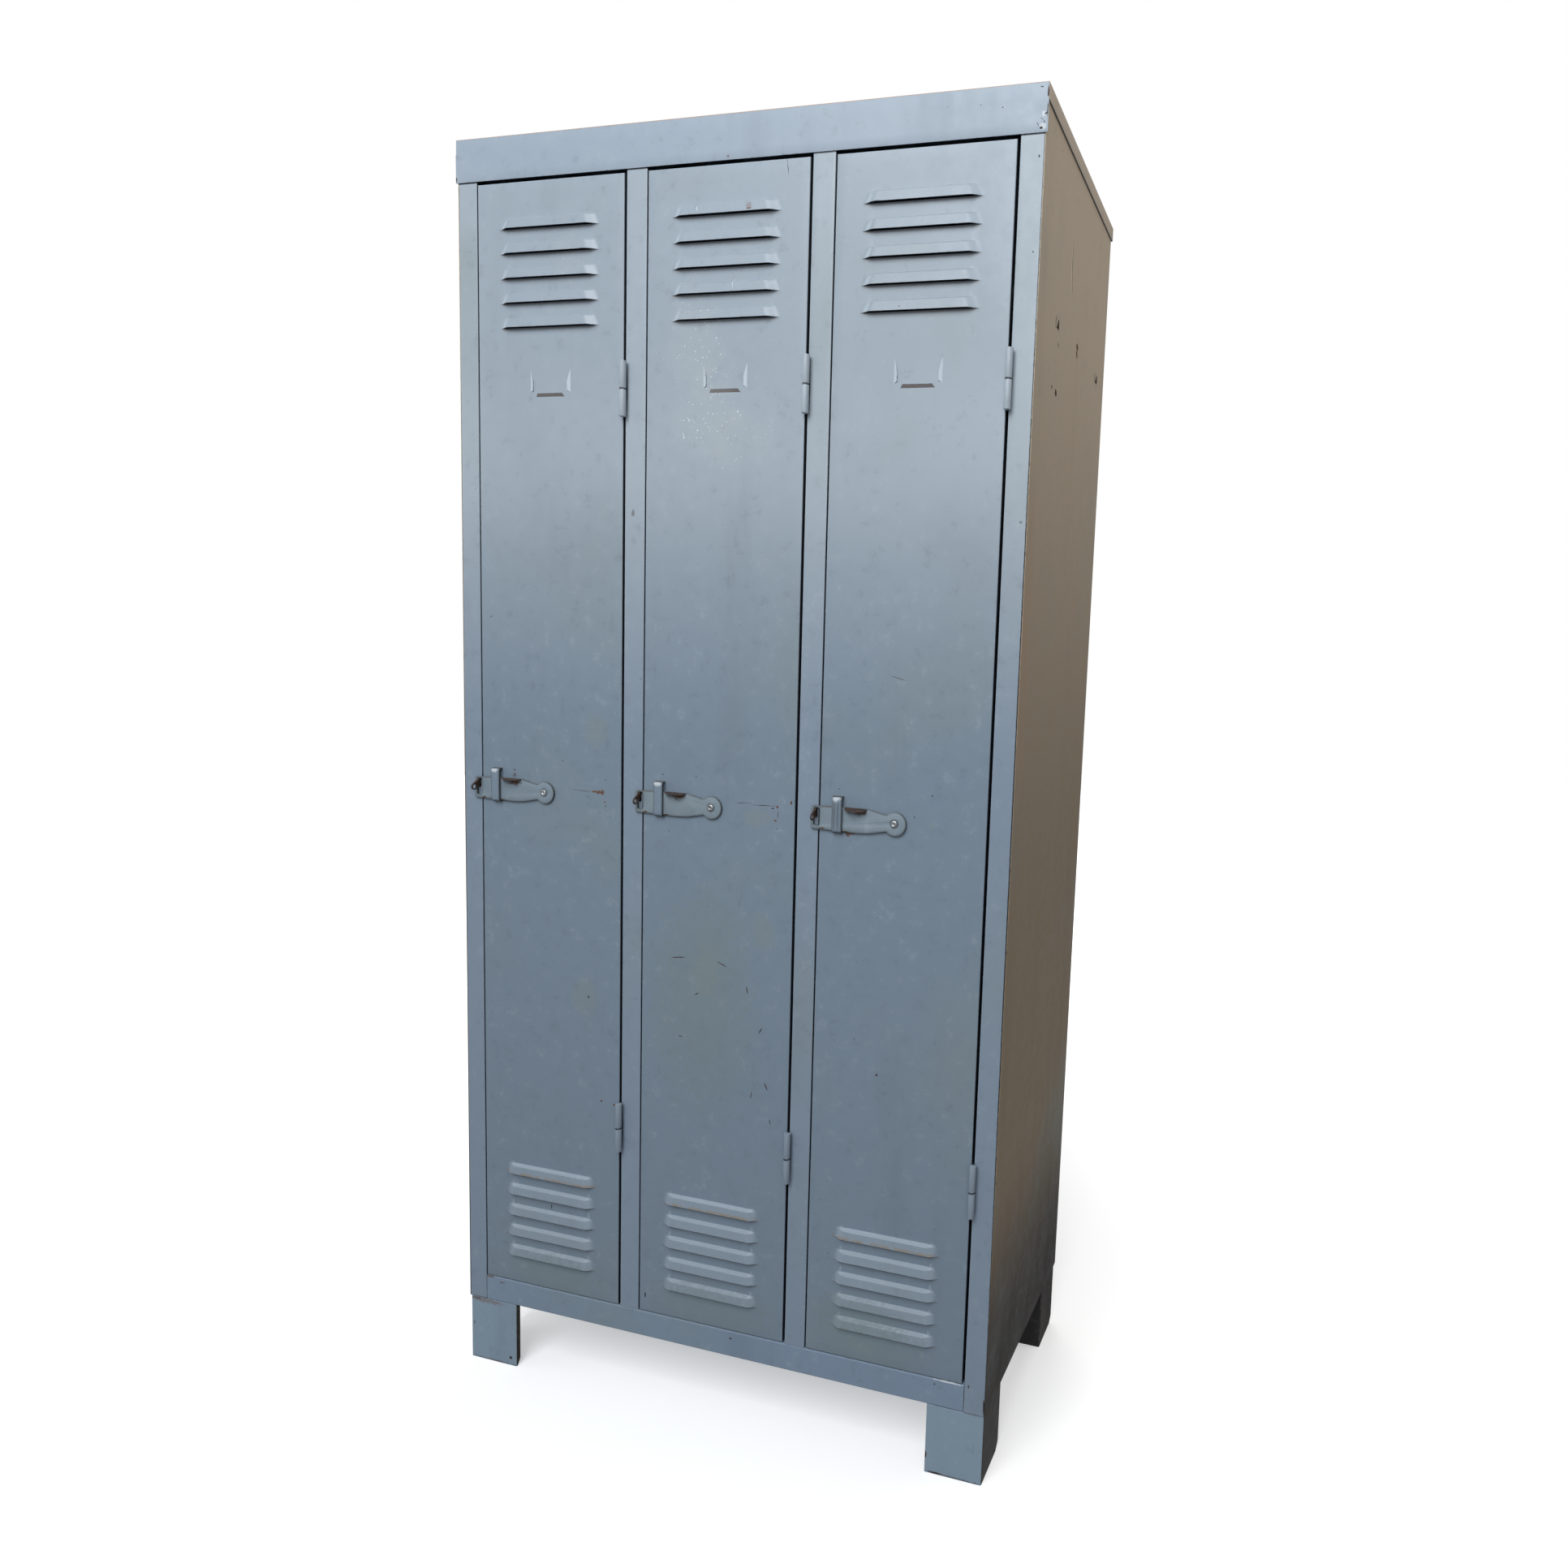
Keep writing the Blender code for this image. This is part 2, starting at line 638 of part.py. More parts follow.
def add_card_flaps(door, column):
    """Two upright flaps and a foot that hold a name card."""
    centre = opening_left(column) + OPENING_WIDTH / 2
    high = CARD_Z + CARD_FLAP_HEIGHT / 2
    low = CARD_Z - CARD_FLAP_HEIGHT / 2
    for side in (-1, 1):
        outer = centre + side * CARD_HALF_WIDTH
        inner = outer - side * CARD_FLAP_WIDTH
        corners = [(outer, high), (inner, high - CARD_FLAP_SPLAY),
                   (inner, low), (outer, low + CARD_FLAP_SPLAY)]
        rises = [CARD_FLAP_ROOT, CARD_FLAP_RISE, CARD_FLAP_RISE, CARD_FLAP_ROOT]
        combine(door, add_object("flap", wedge(corners, rises)), 'UNION')
    root = CARD_Z - CARD_FOOT_DROP
    edge = root + CARD_FLAP_WIDTH
    reach = CARD_FOOT_WIDTH / 2
    narrow = reach - CARD_FLAP_SPLAY
    corners = [(centre - reach, root), (centre + reach, root),
               (centre + narrow, edge), (centre - narrow, edge)]
    rises = [CARD_FLAP_ROOT, CARD_FLAP_ROOT, CARD_FLAP_RISE, CARD_FLAP_RISE]
    combine(door, add_object("flap", wedge(corners, rises)), 'UNION')


def cut_rivet_hole(door, column):
    radius = RIVET_RADIUS + GAP
    profile = [(0, 0), (radius, 0), (radius, 4 * SHEET), (0, 4 * SHEET)]
    centre = at(pivot_x(column), -2 * SHEET, PIVOT_Z)
    cutter = add_object("rivet_hole_cutter", turn_profile(profile, centre, (0, 1, 0), RIVET_SEGMENTS))
    combine(door, cutter, 'DIFFERENCE')


def knuckle(x, leaf_left, leaf_right, bottom):
    """A hinge barrel with its leaf, which reaches back into the gap beside the door."""
    start = math.degrees(math.acos((leaf_left - x) / KNUCKLE_RADIUS))
    end = math.degrees(math.acos((leaf_right - x) / KNUCKLE_RADIUS)) + 360
    barrel = arc((x, HINGE_AXIS_DEPTH), KNUCKLE_RADIUS, start, end, KNUCKLE_SEGMENTS)
    outline = barrel + [(leaf_right, LEAF_DEPTH), (leaf_left, LEAF_DEPTH)]
    return extrude_outline([outline], lambda u, v: at(u, v, bottom), (0, 0, KNUCKLE_HEIGHT))


def bore(item, x, low, high):
    radius = PIN_RADIUS + GAP
    profile = [(0, 0), (radius, 0), (radius, high - low), (0, high - low)]
    centre = at(x, HINGE_AXIS_DEPTH, low)
    cutter = add_object("bore_cutter", turn_profile(profile, centre, (0, 0, 1), PIN_SEGMENTS))
    combine(item, cutter, 'DIFFERENCE')


def build_hinges(column, door):
    x = hinge_x(column)
    door_edge = x - DOOR_GAP_HINGE
    for level, middle in HINGE_LEVELS.items():
        name = f"{level}_hinge_{column + 1}"
        upper_bottom = middle + KNUCKLE_GAP / 2
        lower_bottom = middle - KNUCKLE_GAP / 2 - KNUCKLE_HEIGHT
        bm = knuckle(x, door_edge + GAP, door_edge + GAP + LEAF_SHEET, upper_bottom)
        origin = at(x, HINGE_AXIS_DEPTH, middle)
        leaf = add_object(f"{name}_door_knuckle", bm, origin=origin, parent=door)
        bore(leaf, x, middle - KNUCKLE_GAP, middle + PIN_REACH)
        shade_round(leaf)
        bm = knuckle(x, x - GAP - LEAF_SHEET, x - GAP, lower_bottom)
        leaf = add_object(f"{name}_frame_knuckle", bm)
        bore(leaf, x, middle - PIN_REACH, middle + KNUCKLE_GAP)
        shade_round(leaf)
        length = 2 * (PIN_REACH - GAP)
        profile = [(0, 0), (PIN_RADIUS, 0), (PIN_RADIUS, length), (0, length)]
        centre = at(x, HINGE_AXIS_DEPTH, middle - length / 2)
        bm = turn_profile(profile, centre, (0, 0, 1), PIN_SEGMENTS)
        pin = add_object(f"{name}_pin", bm, BRIGHT_STEEL)
        shade_round(pin)


# Latches

def arm_outline():
    """The arm's outer edge: a round head at the pivot, then a slotted body."""
    head = arc((ARM_HEAD_X, 0), ARM_HEAD_RADIUS, -ARM_NECK_ANGLE, ARM_NECK_ANGLE, ARM_HEAD_STEPS)
    return head + list(ARM_TOP_EDGE) + list(ARM_LOW_EDGE)


def slot_outline():
    """The slot at the arm's free end, with its corners cut."""
    right = SLOT_LEFT + SLOT_WIDTH
    return [(SLOT_LEFT + SLOT_CORNER, SLOT_LOW), (right - SLOT_CORNER, SLOT_LOW),
            (right, SLOT_LOW + SLOT_CORNER), (right, SLOT_HIGH - SLOT_CORNER),
            (right - SLOT_CORNER, SLOT_HIGH), (SLOT_LEFT + SLOT_CORNER, SLOT_HIGH),
            (SLOT_LEFT, SLOT_HIGH - SLOT_CORNER), (SLOT_LEFT, SLOT_LOW + SLOT_CORNER)]


def thumb_tab(column):
    """The tab folded forward from the arm's top edge, rounded and drooping to its tip."""
    half = THUMB_TAB_WIDTH / 2
    centre = pivot_x(column) + THUMB_TAB_LEFT + half
    root = -(ARM_STAND_OFF + ARM_SHEET / 2)
    outline = []
    for step in range(THUMB_TAB_STEPS + 1):
        angle = math.pi * step / THUMB_TAB_STEPS
        reach = THUMB_TAB_REACH * math.sin(angle) ** THUMB_TAB_SQUARENESS
        outline.append((centre + half * math.cos(angle), root - reach))
    bottom = PIVOT_Z + THUMB_TAB_Z
    bm = extrude_outline([outline], lambda u, v: at(u, v, bottom), (0, 0, THUMB_TAB_SHEET))
    for vert in bm.verts:
        vert.co.z -= THUMB_TAB_DROOP * max(0.0, FRONT_Y + ARM_FRONT - vert.co.y)
    return bm


def build_latch_arm(column, door):
    x = pivot_x(column)
    hole = arc((0, 0), RIVET_RADIUS + GAP, 0, 360 - 360 / RIVET_SEGMENTS, RIVET_SEGMENTS - 1)
    bm = extrude_outline([arm_outline(), slot_outline(), hole],
                         lambda u, v: at(x + u, ARM_FRONT, PIVOT_Z + v), (0, ARM_SHEET, 0))
    arm = add_object(f"latch_arm_{column + 1}", bm, origin=at(x, 0, PIVOT_Z), parent=door)
    combine(arm, add_object("thumb_tab", thumb_tab(column)), 'UNION')
    shade_round(arm, 30)


def build_latch_rivet(column, door):
    """A tubular rivet through the arm and the door."""
    head = ARM_FRONT - GAP
    crown = head - RIVET_HEAD_RISE
    back = SHEET + GAP
    profile = [(0, crown + RIVET_DIMPLE_DEPTH), (RIVET_DIMPLE_RADIUS, crown + RIVET_DIMPLE_DEPTH),
               (RIVET_DIMPLE_RADIUS, crown)]
    for step in range(RIVET_CROWN_STEPS + 1):
        angle = math.pi / 2 * step / RIVET_CROWN_STEPS
        radius = RIVET_CROWN_RADIUS + (RIVET_HEAD_RADIUS - RIVET_CROWN_RADIUS) * math.sin(angle)
        profile.append((radius, head - RIVET_HEAD_RISE * math.cos(angle)))
    profile += [(RIVET_RADIUS, head), (RIVET_RADIUS, back), (RIVET_HEAD_RADIUS, back),
                (RIVET_HEAD_RADIUS, back + SHEET), (0, back + SHEET)]
    bm = turn_profile(profile, at(pivot_x(column), 0, PIVOT_Z), (0, 1, 0), RIVET_SEGMENTS)
    rivet = add_object(f"latch_rivet_{column + 1}", bm, BRIGHT_STEEL, at(pivot_x(column), 0, PIVOT_Z), door)
    shade_round(rivet)


def build_keeper(column, door):
    """A staple-shaped strap that the arm rises and falls in."""
    left = pivot_x(column) + KEEPER_X - KEEPER_WIDTH / 2
    inner_corner = KEEPER_CORNER - KEEPER_SHEET
    low = KEEPER_LOW + KEEPER_CORNER
    high = KEEPER_HIGH - KEEPER_CORNER
    turn = -KEEPER_REACH + KEEPER_CORNER
    steps = KEEPER_CORNER_STEPS
    outer = [(-GAP, KEEPER_LOW)] + arc((turn, low), KEEPER_CORNER, 270, 180, steps)
    outer += arc((turn, high), KEEPER_CORNER, 180, 90, steps) + [(-GAP, KEEPER_HIGH)]
    inner = [(-GAP, KEEPER_HIGH - KEEPER_SHEET)] + arc((turn, high), inner_corner, 90, 180, steps)
    inner += arc((turn, low), inner_corner, 180, 270, steps) + [(-GAP, KEEPER_LOW + KEEPER_SHEET)]
    bm = extrude_outline([outer + inner], lambda u, v: at(left, u, PIVOT_Z + v), (KEEPER_WIDTH, 0, 0))
    keeper = add_object(f"latch_keeper_{column + 1}", bm, origin=at(left, 0, PIVOT_Z), parent=door)
    shade_round(keeper)


def build_catch_plate(column):
    """A plate that stands out of the post, with a padlock hole in its nose."""
    left = opening_left(column) - CATCH_INSET - CATCH_SHEET
    nose = arc((CATCH_NOSE_DEPTH, CATCH_NOSE_Z), CATCH_NOSE_RADIUS, 290, 125, 8)
    outline = [(CATCH_TAIL, 0), (-CATCH_SHOULDER, 0)] + nose
    outline += [(-CATCH_SHOULDER, CATCH_HIGH), (CATCH_TAIL, CATCH_HIGH)]
    hole = arc((CATCH_NOSE_DEPTH, CATCH_NOSE_Z), PADLOCK_HOLE_RADIUS, 0, 330, 11)
    bm = extrude_outline([outline, hole], lambda u, v: at(left, u, PIVOT_Z + v), (CATCH_SHEET, 0, 0))
    plate = add_object(f"catch_plate_{column + 1}", bm, DARK_STEEL)
    shade_round(plate, 30)


def build_doors():
    for column in range(COLUMNS):
        origin = at(hinge_x(column), HINGE_AXIS_DEPTH, (RAIL_TOP + OPENING_TOP) / 2)
        door = build_door_sheet(f"door_{column + 1}", column, origin)
        add_card_flaps(door, column)
        cut_rivet_hole(door, column)
        build_hinges(column, door)
        build_latch_arm(column, door)
        build_latch_rivet(column, door)
        build_keeper(column, door)
        build_catch_plate(column)


def main():
    clear_scene()
    build_roof_cap()
    build_roof_edges()
    build_posts()
    build_mullions_and_partitions()
    build_side_panels()
    build_back_and_floor()
    build_feet()
    build_shelves_and_rails()
    build_door_stops()
    build_doors()


main()
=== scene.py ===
"""The looks of a worn three-door steel locker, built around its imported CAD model.

Thin sheet pieces are made as surfaces, given shallow waves and dents, folded
and thickened. All of them share one family of painted-steel materials, whose
wear is placed by marks given in the row frame, in metres.
"""
import math

import bmesh
import bpy
from mathutils import Euler, Matrix, Vector, noise


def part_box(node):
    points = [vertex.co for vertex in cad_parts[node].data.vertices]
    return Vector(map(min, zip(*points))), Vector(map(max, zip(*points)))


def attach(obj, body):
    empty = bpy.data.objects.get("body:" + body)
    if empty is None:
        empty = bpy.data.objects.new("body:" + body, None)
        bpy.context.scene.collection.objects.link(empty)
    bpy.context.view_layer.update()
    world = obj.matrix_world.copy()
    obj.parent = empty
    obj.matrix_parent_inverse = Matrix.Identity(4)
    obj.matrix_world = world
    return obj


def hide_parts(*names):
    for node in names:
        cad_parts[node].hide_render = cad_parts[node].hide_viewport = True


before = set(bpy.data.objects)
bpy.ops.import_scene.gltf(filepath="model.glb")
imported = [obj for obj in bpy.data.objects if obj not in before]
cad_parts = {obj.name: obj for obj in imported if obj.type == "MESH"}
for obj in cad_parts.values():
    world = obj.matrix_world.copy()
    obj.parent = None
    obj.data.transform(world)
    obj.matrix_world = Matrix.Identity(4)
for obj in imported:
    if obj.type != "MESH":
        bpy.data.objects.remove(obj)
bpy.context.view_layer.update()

# ---------------------------------------------------------------- dimensions

SHEET = 0.001
FOLD = 0.0013
FOLD_STEPS = 4
LOCKERS = (1, 2, 3)
DOOR_LIP = 0.012
SAME = 0.00001

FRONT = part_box("left_post")[0].y
RIGHT_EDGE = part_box("right_post")[1].x
FASCIA_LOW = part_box("roof_cap")[0].z
RIGHTWARD = (1, 0, 0)
BACKWARD = (0, 1, 0)
UPWARD = (0, 0, 1)

# Louvres, by their lower edges
LOUVRES = 5
LOUVRE_PITCH = 0.0328
LOUVRE_TOP_ROW = 1.6889
LOUVRE_LOW_ROW = 0.3210
LOUVRE_WIDTH = 0.162
LOUVRE_OFFSET = -0.002
LOUVRE_HEIGHT = 0.0150
LOUVRE_REACH = 0.0066
LOUVRE_END = 0.0180
LOUVRE_SLANT = 0.0065
LOUVRE_SHOULDER = 0.0036
LOUVRE_SHOULDER_SHARE = 0.82
HOOD_END_STEPS = 18
HOOD_ROWS = (0, 0.16, 0.34, 0.52, 0.68, 0.76, 0.80, 0.84, 0.88, 0.92, 0.96, 1.0)

# Dents of each door, as dented() takes them, with x from the opening's left edge
DOOR_DENTS = {
    1: [(0.125, 0.529, 0.010, 0.050, 12, 0.0012), (0.070, 1.180, 0.050, 0.090, 0, 0.0007)],
    2: [(0.092, 1.360, 0.012, 0.020, 0, 0.0007), (0.170, 0.700, 0.040, 0.120, 0, 0.0007)],
    3: [
        (0.101, 1.102, 0.020, 0.004, -8, 0.0006),
        (0.124, 1.095, 0.004, 0.012, 0, 0.0006),
        (0.060, 0.620, 0.050, 0.100, 0, 0.0006),
    ],
}

# The three flaps that hold a name card
CARD_Z = 1.486
CARD_HALF_WIDTH = 0.0325
CARD_FLAP_HEIGHT = 0.032
CARD_FLAP_WIDTH = 0.0045
CARD_FLAP_RISE = 0.0017
CARD_FLAP_SPLAY = 0.0034
CARD_FOOT_WIDTH = 0.047
CARD_FOOT_DROP = 0.0215
CARD_FOOT_UNDERSIDE = CARD_Z - 0.0162


# ----------------------------------------------------------------- materials

class Surface:
    """A node material in the making; each call adds nodes, and most return an output."""

    def __init__(self, name):
        self.material = bpy.data.materials.new(name)
        self.material.use_nodes = True
        self.tree = self.material.node_tree
        self.shader = self.tree.nodes["Principled BSDF"]
        self.place = self.tree.nodes.new("ShaderNodeTexCoord").outputs["Object"]
        self.colour = None

    def feed(self, socket, value):
        if isinstance(value, bpy.types.NodeSocket):
            self.tree.links.new(value, socket)
        else:
            socket.default_value = value

    def math(self, operation, first, second=0.0):
        node = self.tree.nodes.new("ShaderNodeMath")
        node.operation = operation
        self.feed(node.inputs[0], first)
        self.feed(node.inputs[1], second)
        return node.outputs[0]

    def vector(self, operation, first, second=(0, 0, 0)):
        node = self.tree.nodes.new("ShaderNodeVectorMath")
        node.operation = operation
        self.feed(node.inputs[0], first)
        self.feed(node.inputs[1], second)
        return node.outputs["Value" if operation in ("LENGTH", "DOT_PRODUCT") else "Vector"]

    def ramp(self, value, low, high, start=0.0, end=1.0):
        """Value eased from start to end while it runs from low to high."""
        node = self.tree.nodes.new("ShaderNodeMapRange")
        node.interpolation_type = 'SMOOTHSTEP'
        for socket, given in zip(node.inputs, (value, low, high, start, end)):
            self.feed(socket, given)
        return node.outputs[0]

    def between(self, value, low, high, soft):
        """1 while value is from low to high, 0 further than soft outside them."""
        return self.times(self.ramp(value, low - soft, low), self.ramp(value, high + soft, high))

    def stretched(self, stretch, offset):
        """The place scaled by stretch, moved so that each offset gives another pattern."""
        scaled = self.vector('MULTIPLY', self.place, stretch)
        return self.vector('ADD', scaled, (offset, offset * 0.7, -offset))

    def cloud(self, scale, detail=3.0, roughness=0.5, offset=0.0, stretch=(1, 1, 1)):
        """Noise whose cells are 1/scale metres wide."""
        node = self.tree.nodes.new("ShaderNodeTexNoise")
        self.feed(node.inputs["Vector"], self.stretched(stretch, offset))
        self.feed(node.inputs["Scale"], scale)
        self.feed(node.inputs["Detail"], detail)
        self.feed(node.inputs["Roughness"], roughness)
        return node.outputs["Fac"]

    def specks(self, scale, size, share, offset=0.0, stretch=(1, 1, 1)):
        """Small round spots of up to size metres in a given share of the cells."""
        node = self.tree.nodes.new("ShaderNodeTexVoronoi")
        self.feed(node.inputs["Vector"], self.stretched(stretch, offset))
        self.feed(node.inputs["Scale"], scale)
        chance = self.vector('DOT_PRODUCT', node.outputs["Color"], RIGHTWARD)
        reach = self.ramp(chance, 1.0 - share, 1.0, 0.0, size * scale)
        wobble = self.math('MULTIPLY', self.cloud(scale * 7, 2), size * scale * 0.6)
        edge = self.math('SUBTRACT', reach, self.math('ADD', node.outputs["Distance"], wobble))
        return self.ramp(edge, -size * scale * 0.25, size * scale * 0.05)

    def mix(self, factor, under, over):
        node = self.tree.nodes.new("ShaderNodeMix")
        node.data_type = 'RGBA'
        for index, value in ((0, factor), (6, under), (7, over)):
            if isinstance(value, tuple):
                value = (*value, 1.0)
            self.feed(node.inputs[index], value)
        return node.outputs[2]

    def coat(self, over, *masks):
        """Lay a colour over what is there, as thick as the product of the masks."""
        self.colour = self.mix(self.times(*masks), self.colour, over)

    def add(self, *values):
        total = values[0]
        for value in values[1:]:
            total = self.math('ADD', total, value)
        return total

    def most(self, *values):
        top = values[0]
        for value in values[1:]:
            top = self.math('MAXIMUM', top, value)
        return top

    def times(self, *values):
        product = values[0]
        for value in values[1:]:
            product = self.math('MULTIPLY', product, value)
        return product

    def edges(self, radius):
        """1 along folds and corners, 0 on flat sheet."""
        bevel = self.tree.nodes.new("ShaderNodeBevel")
        bevel.samples = 4
        self.feed(bevel.inputs["Radius"], radius)
        geometry = self.tree.nodes.new("ShaderNodeNewGeometry")
        turn = self.vector('DOT_PRODUCT', bevel.outputs["Normal"], geometry.outputs["Normal"])
        return self.ramp(turn, 0.985, 0.88)

    def patch(self, centre, reach, turn=0.0, ragged=0.5, grain=180, axis='Y'):
        """A mark with a ragged outline. reach is its half width and half height."""
        local = self.vector('SUBTRACT', self.place, centre)
        spin = self.tree.nodes.new("ShaderNodeVectorRotate")
        spin.rotation_type = axis + '_AXIS'
        self.feed(spin.inputs["Vector"], local)
        self.feed(spin.inputs["Angle"], math.radians(turn))
        across, along = 1 / reach[0], 1 / reach[1]
        share = (across, 0, along) if axis == 'Y' else (0, across, along)
        distance = self.vector('LENGTH', self.vector('MULTIPLY', spin.outputs[0], share))
        wobble = self.math('MULTIPLY', self.cloud(grain, 3, 0.6), ragged * 2)
        return self.ramp(self.add(distance, wobble, -ragged), 1.0, 0.45)

    def lean(self, axis):
        """How squarely the surface faces along an axis of the row frame, negative when it faces away."""
        normal = self.tree.nodes.new("ShaderNodeTexCoord").outputs["Normal"]
        return self.vector('DOT_PRODUCT', normal, axis)

    def facing(self, axis):
        """How squarely the surface faces along an axis, either way."""
        return self.math('ABSOLUTE', self.lean(axis))

    def along(self, axis):
        """The place along an axis of the row frame, in metres."""
        return self.vector('DOT_PRODUCT', self.place, axis)

    def gradient(self, low, high):
        """0 below the height low, 1 above the height high."""
        return self.ramp(self.along(UPWARD), low, high)

    def finish(self, roughness, height, depth, metallic=0.0, strength=0.5):
        """Wire up the shader; height runs from 0 to 1 over a relief of depth metres."""
        self.feed(self.shader.inputs["Base Color"], self.colour)
        self.feed(self.shader.inputs["Roughness"], roughness)
        self.feed(self.shader.inputs["Metallic"], metallic)
        bump = self.tree.nodes.new("ShaderNodeBump")
        self.feed(bump.inputs["Distance"], depth)
        self.feed(bump.inputs["Strength"], strength)
        self.feed(bump.inputs["Height"], height)
        self.feed(self.shader.inputs["Normal"], bump.outputs["Normal"])
        return self.material


# Front paint, lighter at the top: partly faded paint, partly painted light standing in for the brighter light
# on the upper front
PAINT_TOP = (0.312, 0.368, 0.424)
PAINT_LOW = (0.190, 0.246, 0.308)
PAINT_GREEN = (0.215, 0.260, 0.250)
PAINT_PALE = (0.46, 0.52, 0.56)
PAINT_DARK = (0.075, 0.090, 0.105)
# Painted shade: colours of faces turned sideways, browner and darker than the front for the dimmer, warmer
# light on them, near black at the feet
SIDE_SHADE_TOP = (0.53, 0.452, 0.345)
SIDE_SHADE_LOW = (0.262, 0.205, 0.138)
SIDE_FOOT_SHADOW = (0.036, 0.027, 0.020)
SIDE_PALE = (0.56, 0.49, 0.40)
# Near black, for dark seams and for painted shadow in the gaps
SEAM_AND_SHADOW_BLACK = (0.008, 0.011, 0.016)
RUST_ORANGE = (0.185, 0.088, 0.045)
RUST_BROWN = (0.070, 0.036, 0.024)
CHIP = (0.028, 0.030, 0.034)
DUST = (0.46, 0.48, 0.45)
DUST_DOT = (0.76, 0.80, 0.80)
# Dark edges of a plate: dirt, and painted shade along its outline
EDGE_DIRT_AND_SHADE = (0.040, 0.038, 0.026)
TAN = (0.40, 0.27, 0.19)
# Painted highlight on the louvres and card flaps
LOUVRE_HIGHLIGHT = (0.60, 0.67, 0.73)
FLAP_SHADOW = (0.165, 0.150, 0.148)
LOUVRE_BROWN = (0.17, 0.14, 0.115)
LIP_RUST = (0.215, 0.155, 0.085)

# How each kind of mark tints the front: share and colour. Rust, chips and scratches go through the paint.
TINTS = {
    "stain": (0.45, RUST_ORANGE),
    # Dark brown: brown stains, and painted shadow under the thumb tabs and along creases
    "shade": (0.55, RUST_BROWN),
    "tan": (0.85, TAN),
    # Near black: dark seams, and painted shadow beside the hinges and along a crease
    "seam": (0.92, SEAM_AND_SHADOW_BLACK),
    "moss": (0.42, (0.183, 0.232, 0.232)),
    "green": (0.28, (0.225, 0.262, 0.225)),
    "pale": (0.75, (0.62, 0.66, 0.70)),
}
SIDE_TINTS = {**TINTS, "tan": (0.25, TAN), "pale": (0.75, (0.70, 0.62, 0.50))}


def side_shade_colour(s):
    """Painted shade for everything that faces sideways: a browner colour, darker towards the bottom and near
    black at the feet, standing in for the dimmer, warmer light on the sides.
    """
    colour = s.mix(s.gradient(0.75, 1.8), SIDE_SHADE_LOW, SIDE_SHADE_TOP)
    return s.mix(s.gradient(0.46, 0.15), colour, SIDE_FOOT_SHADOW)


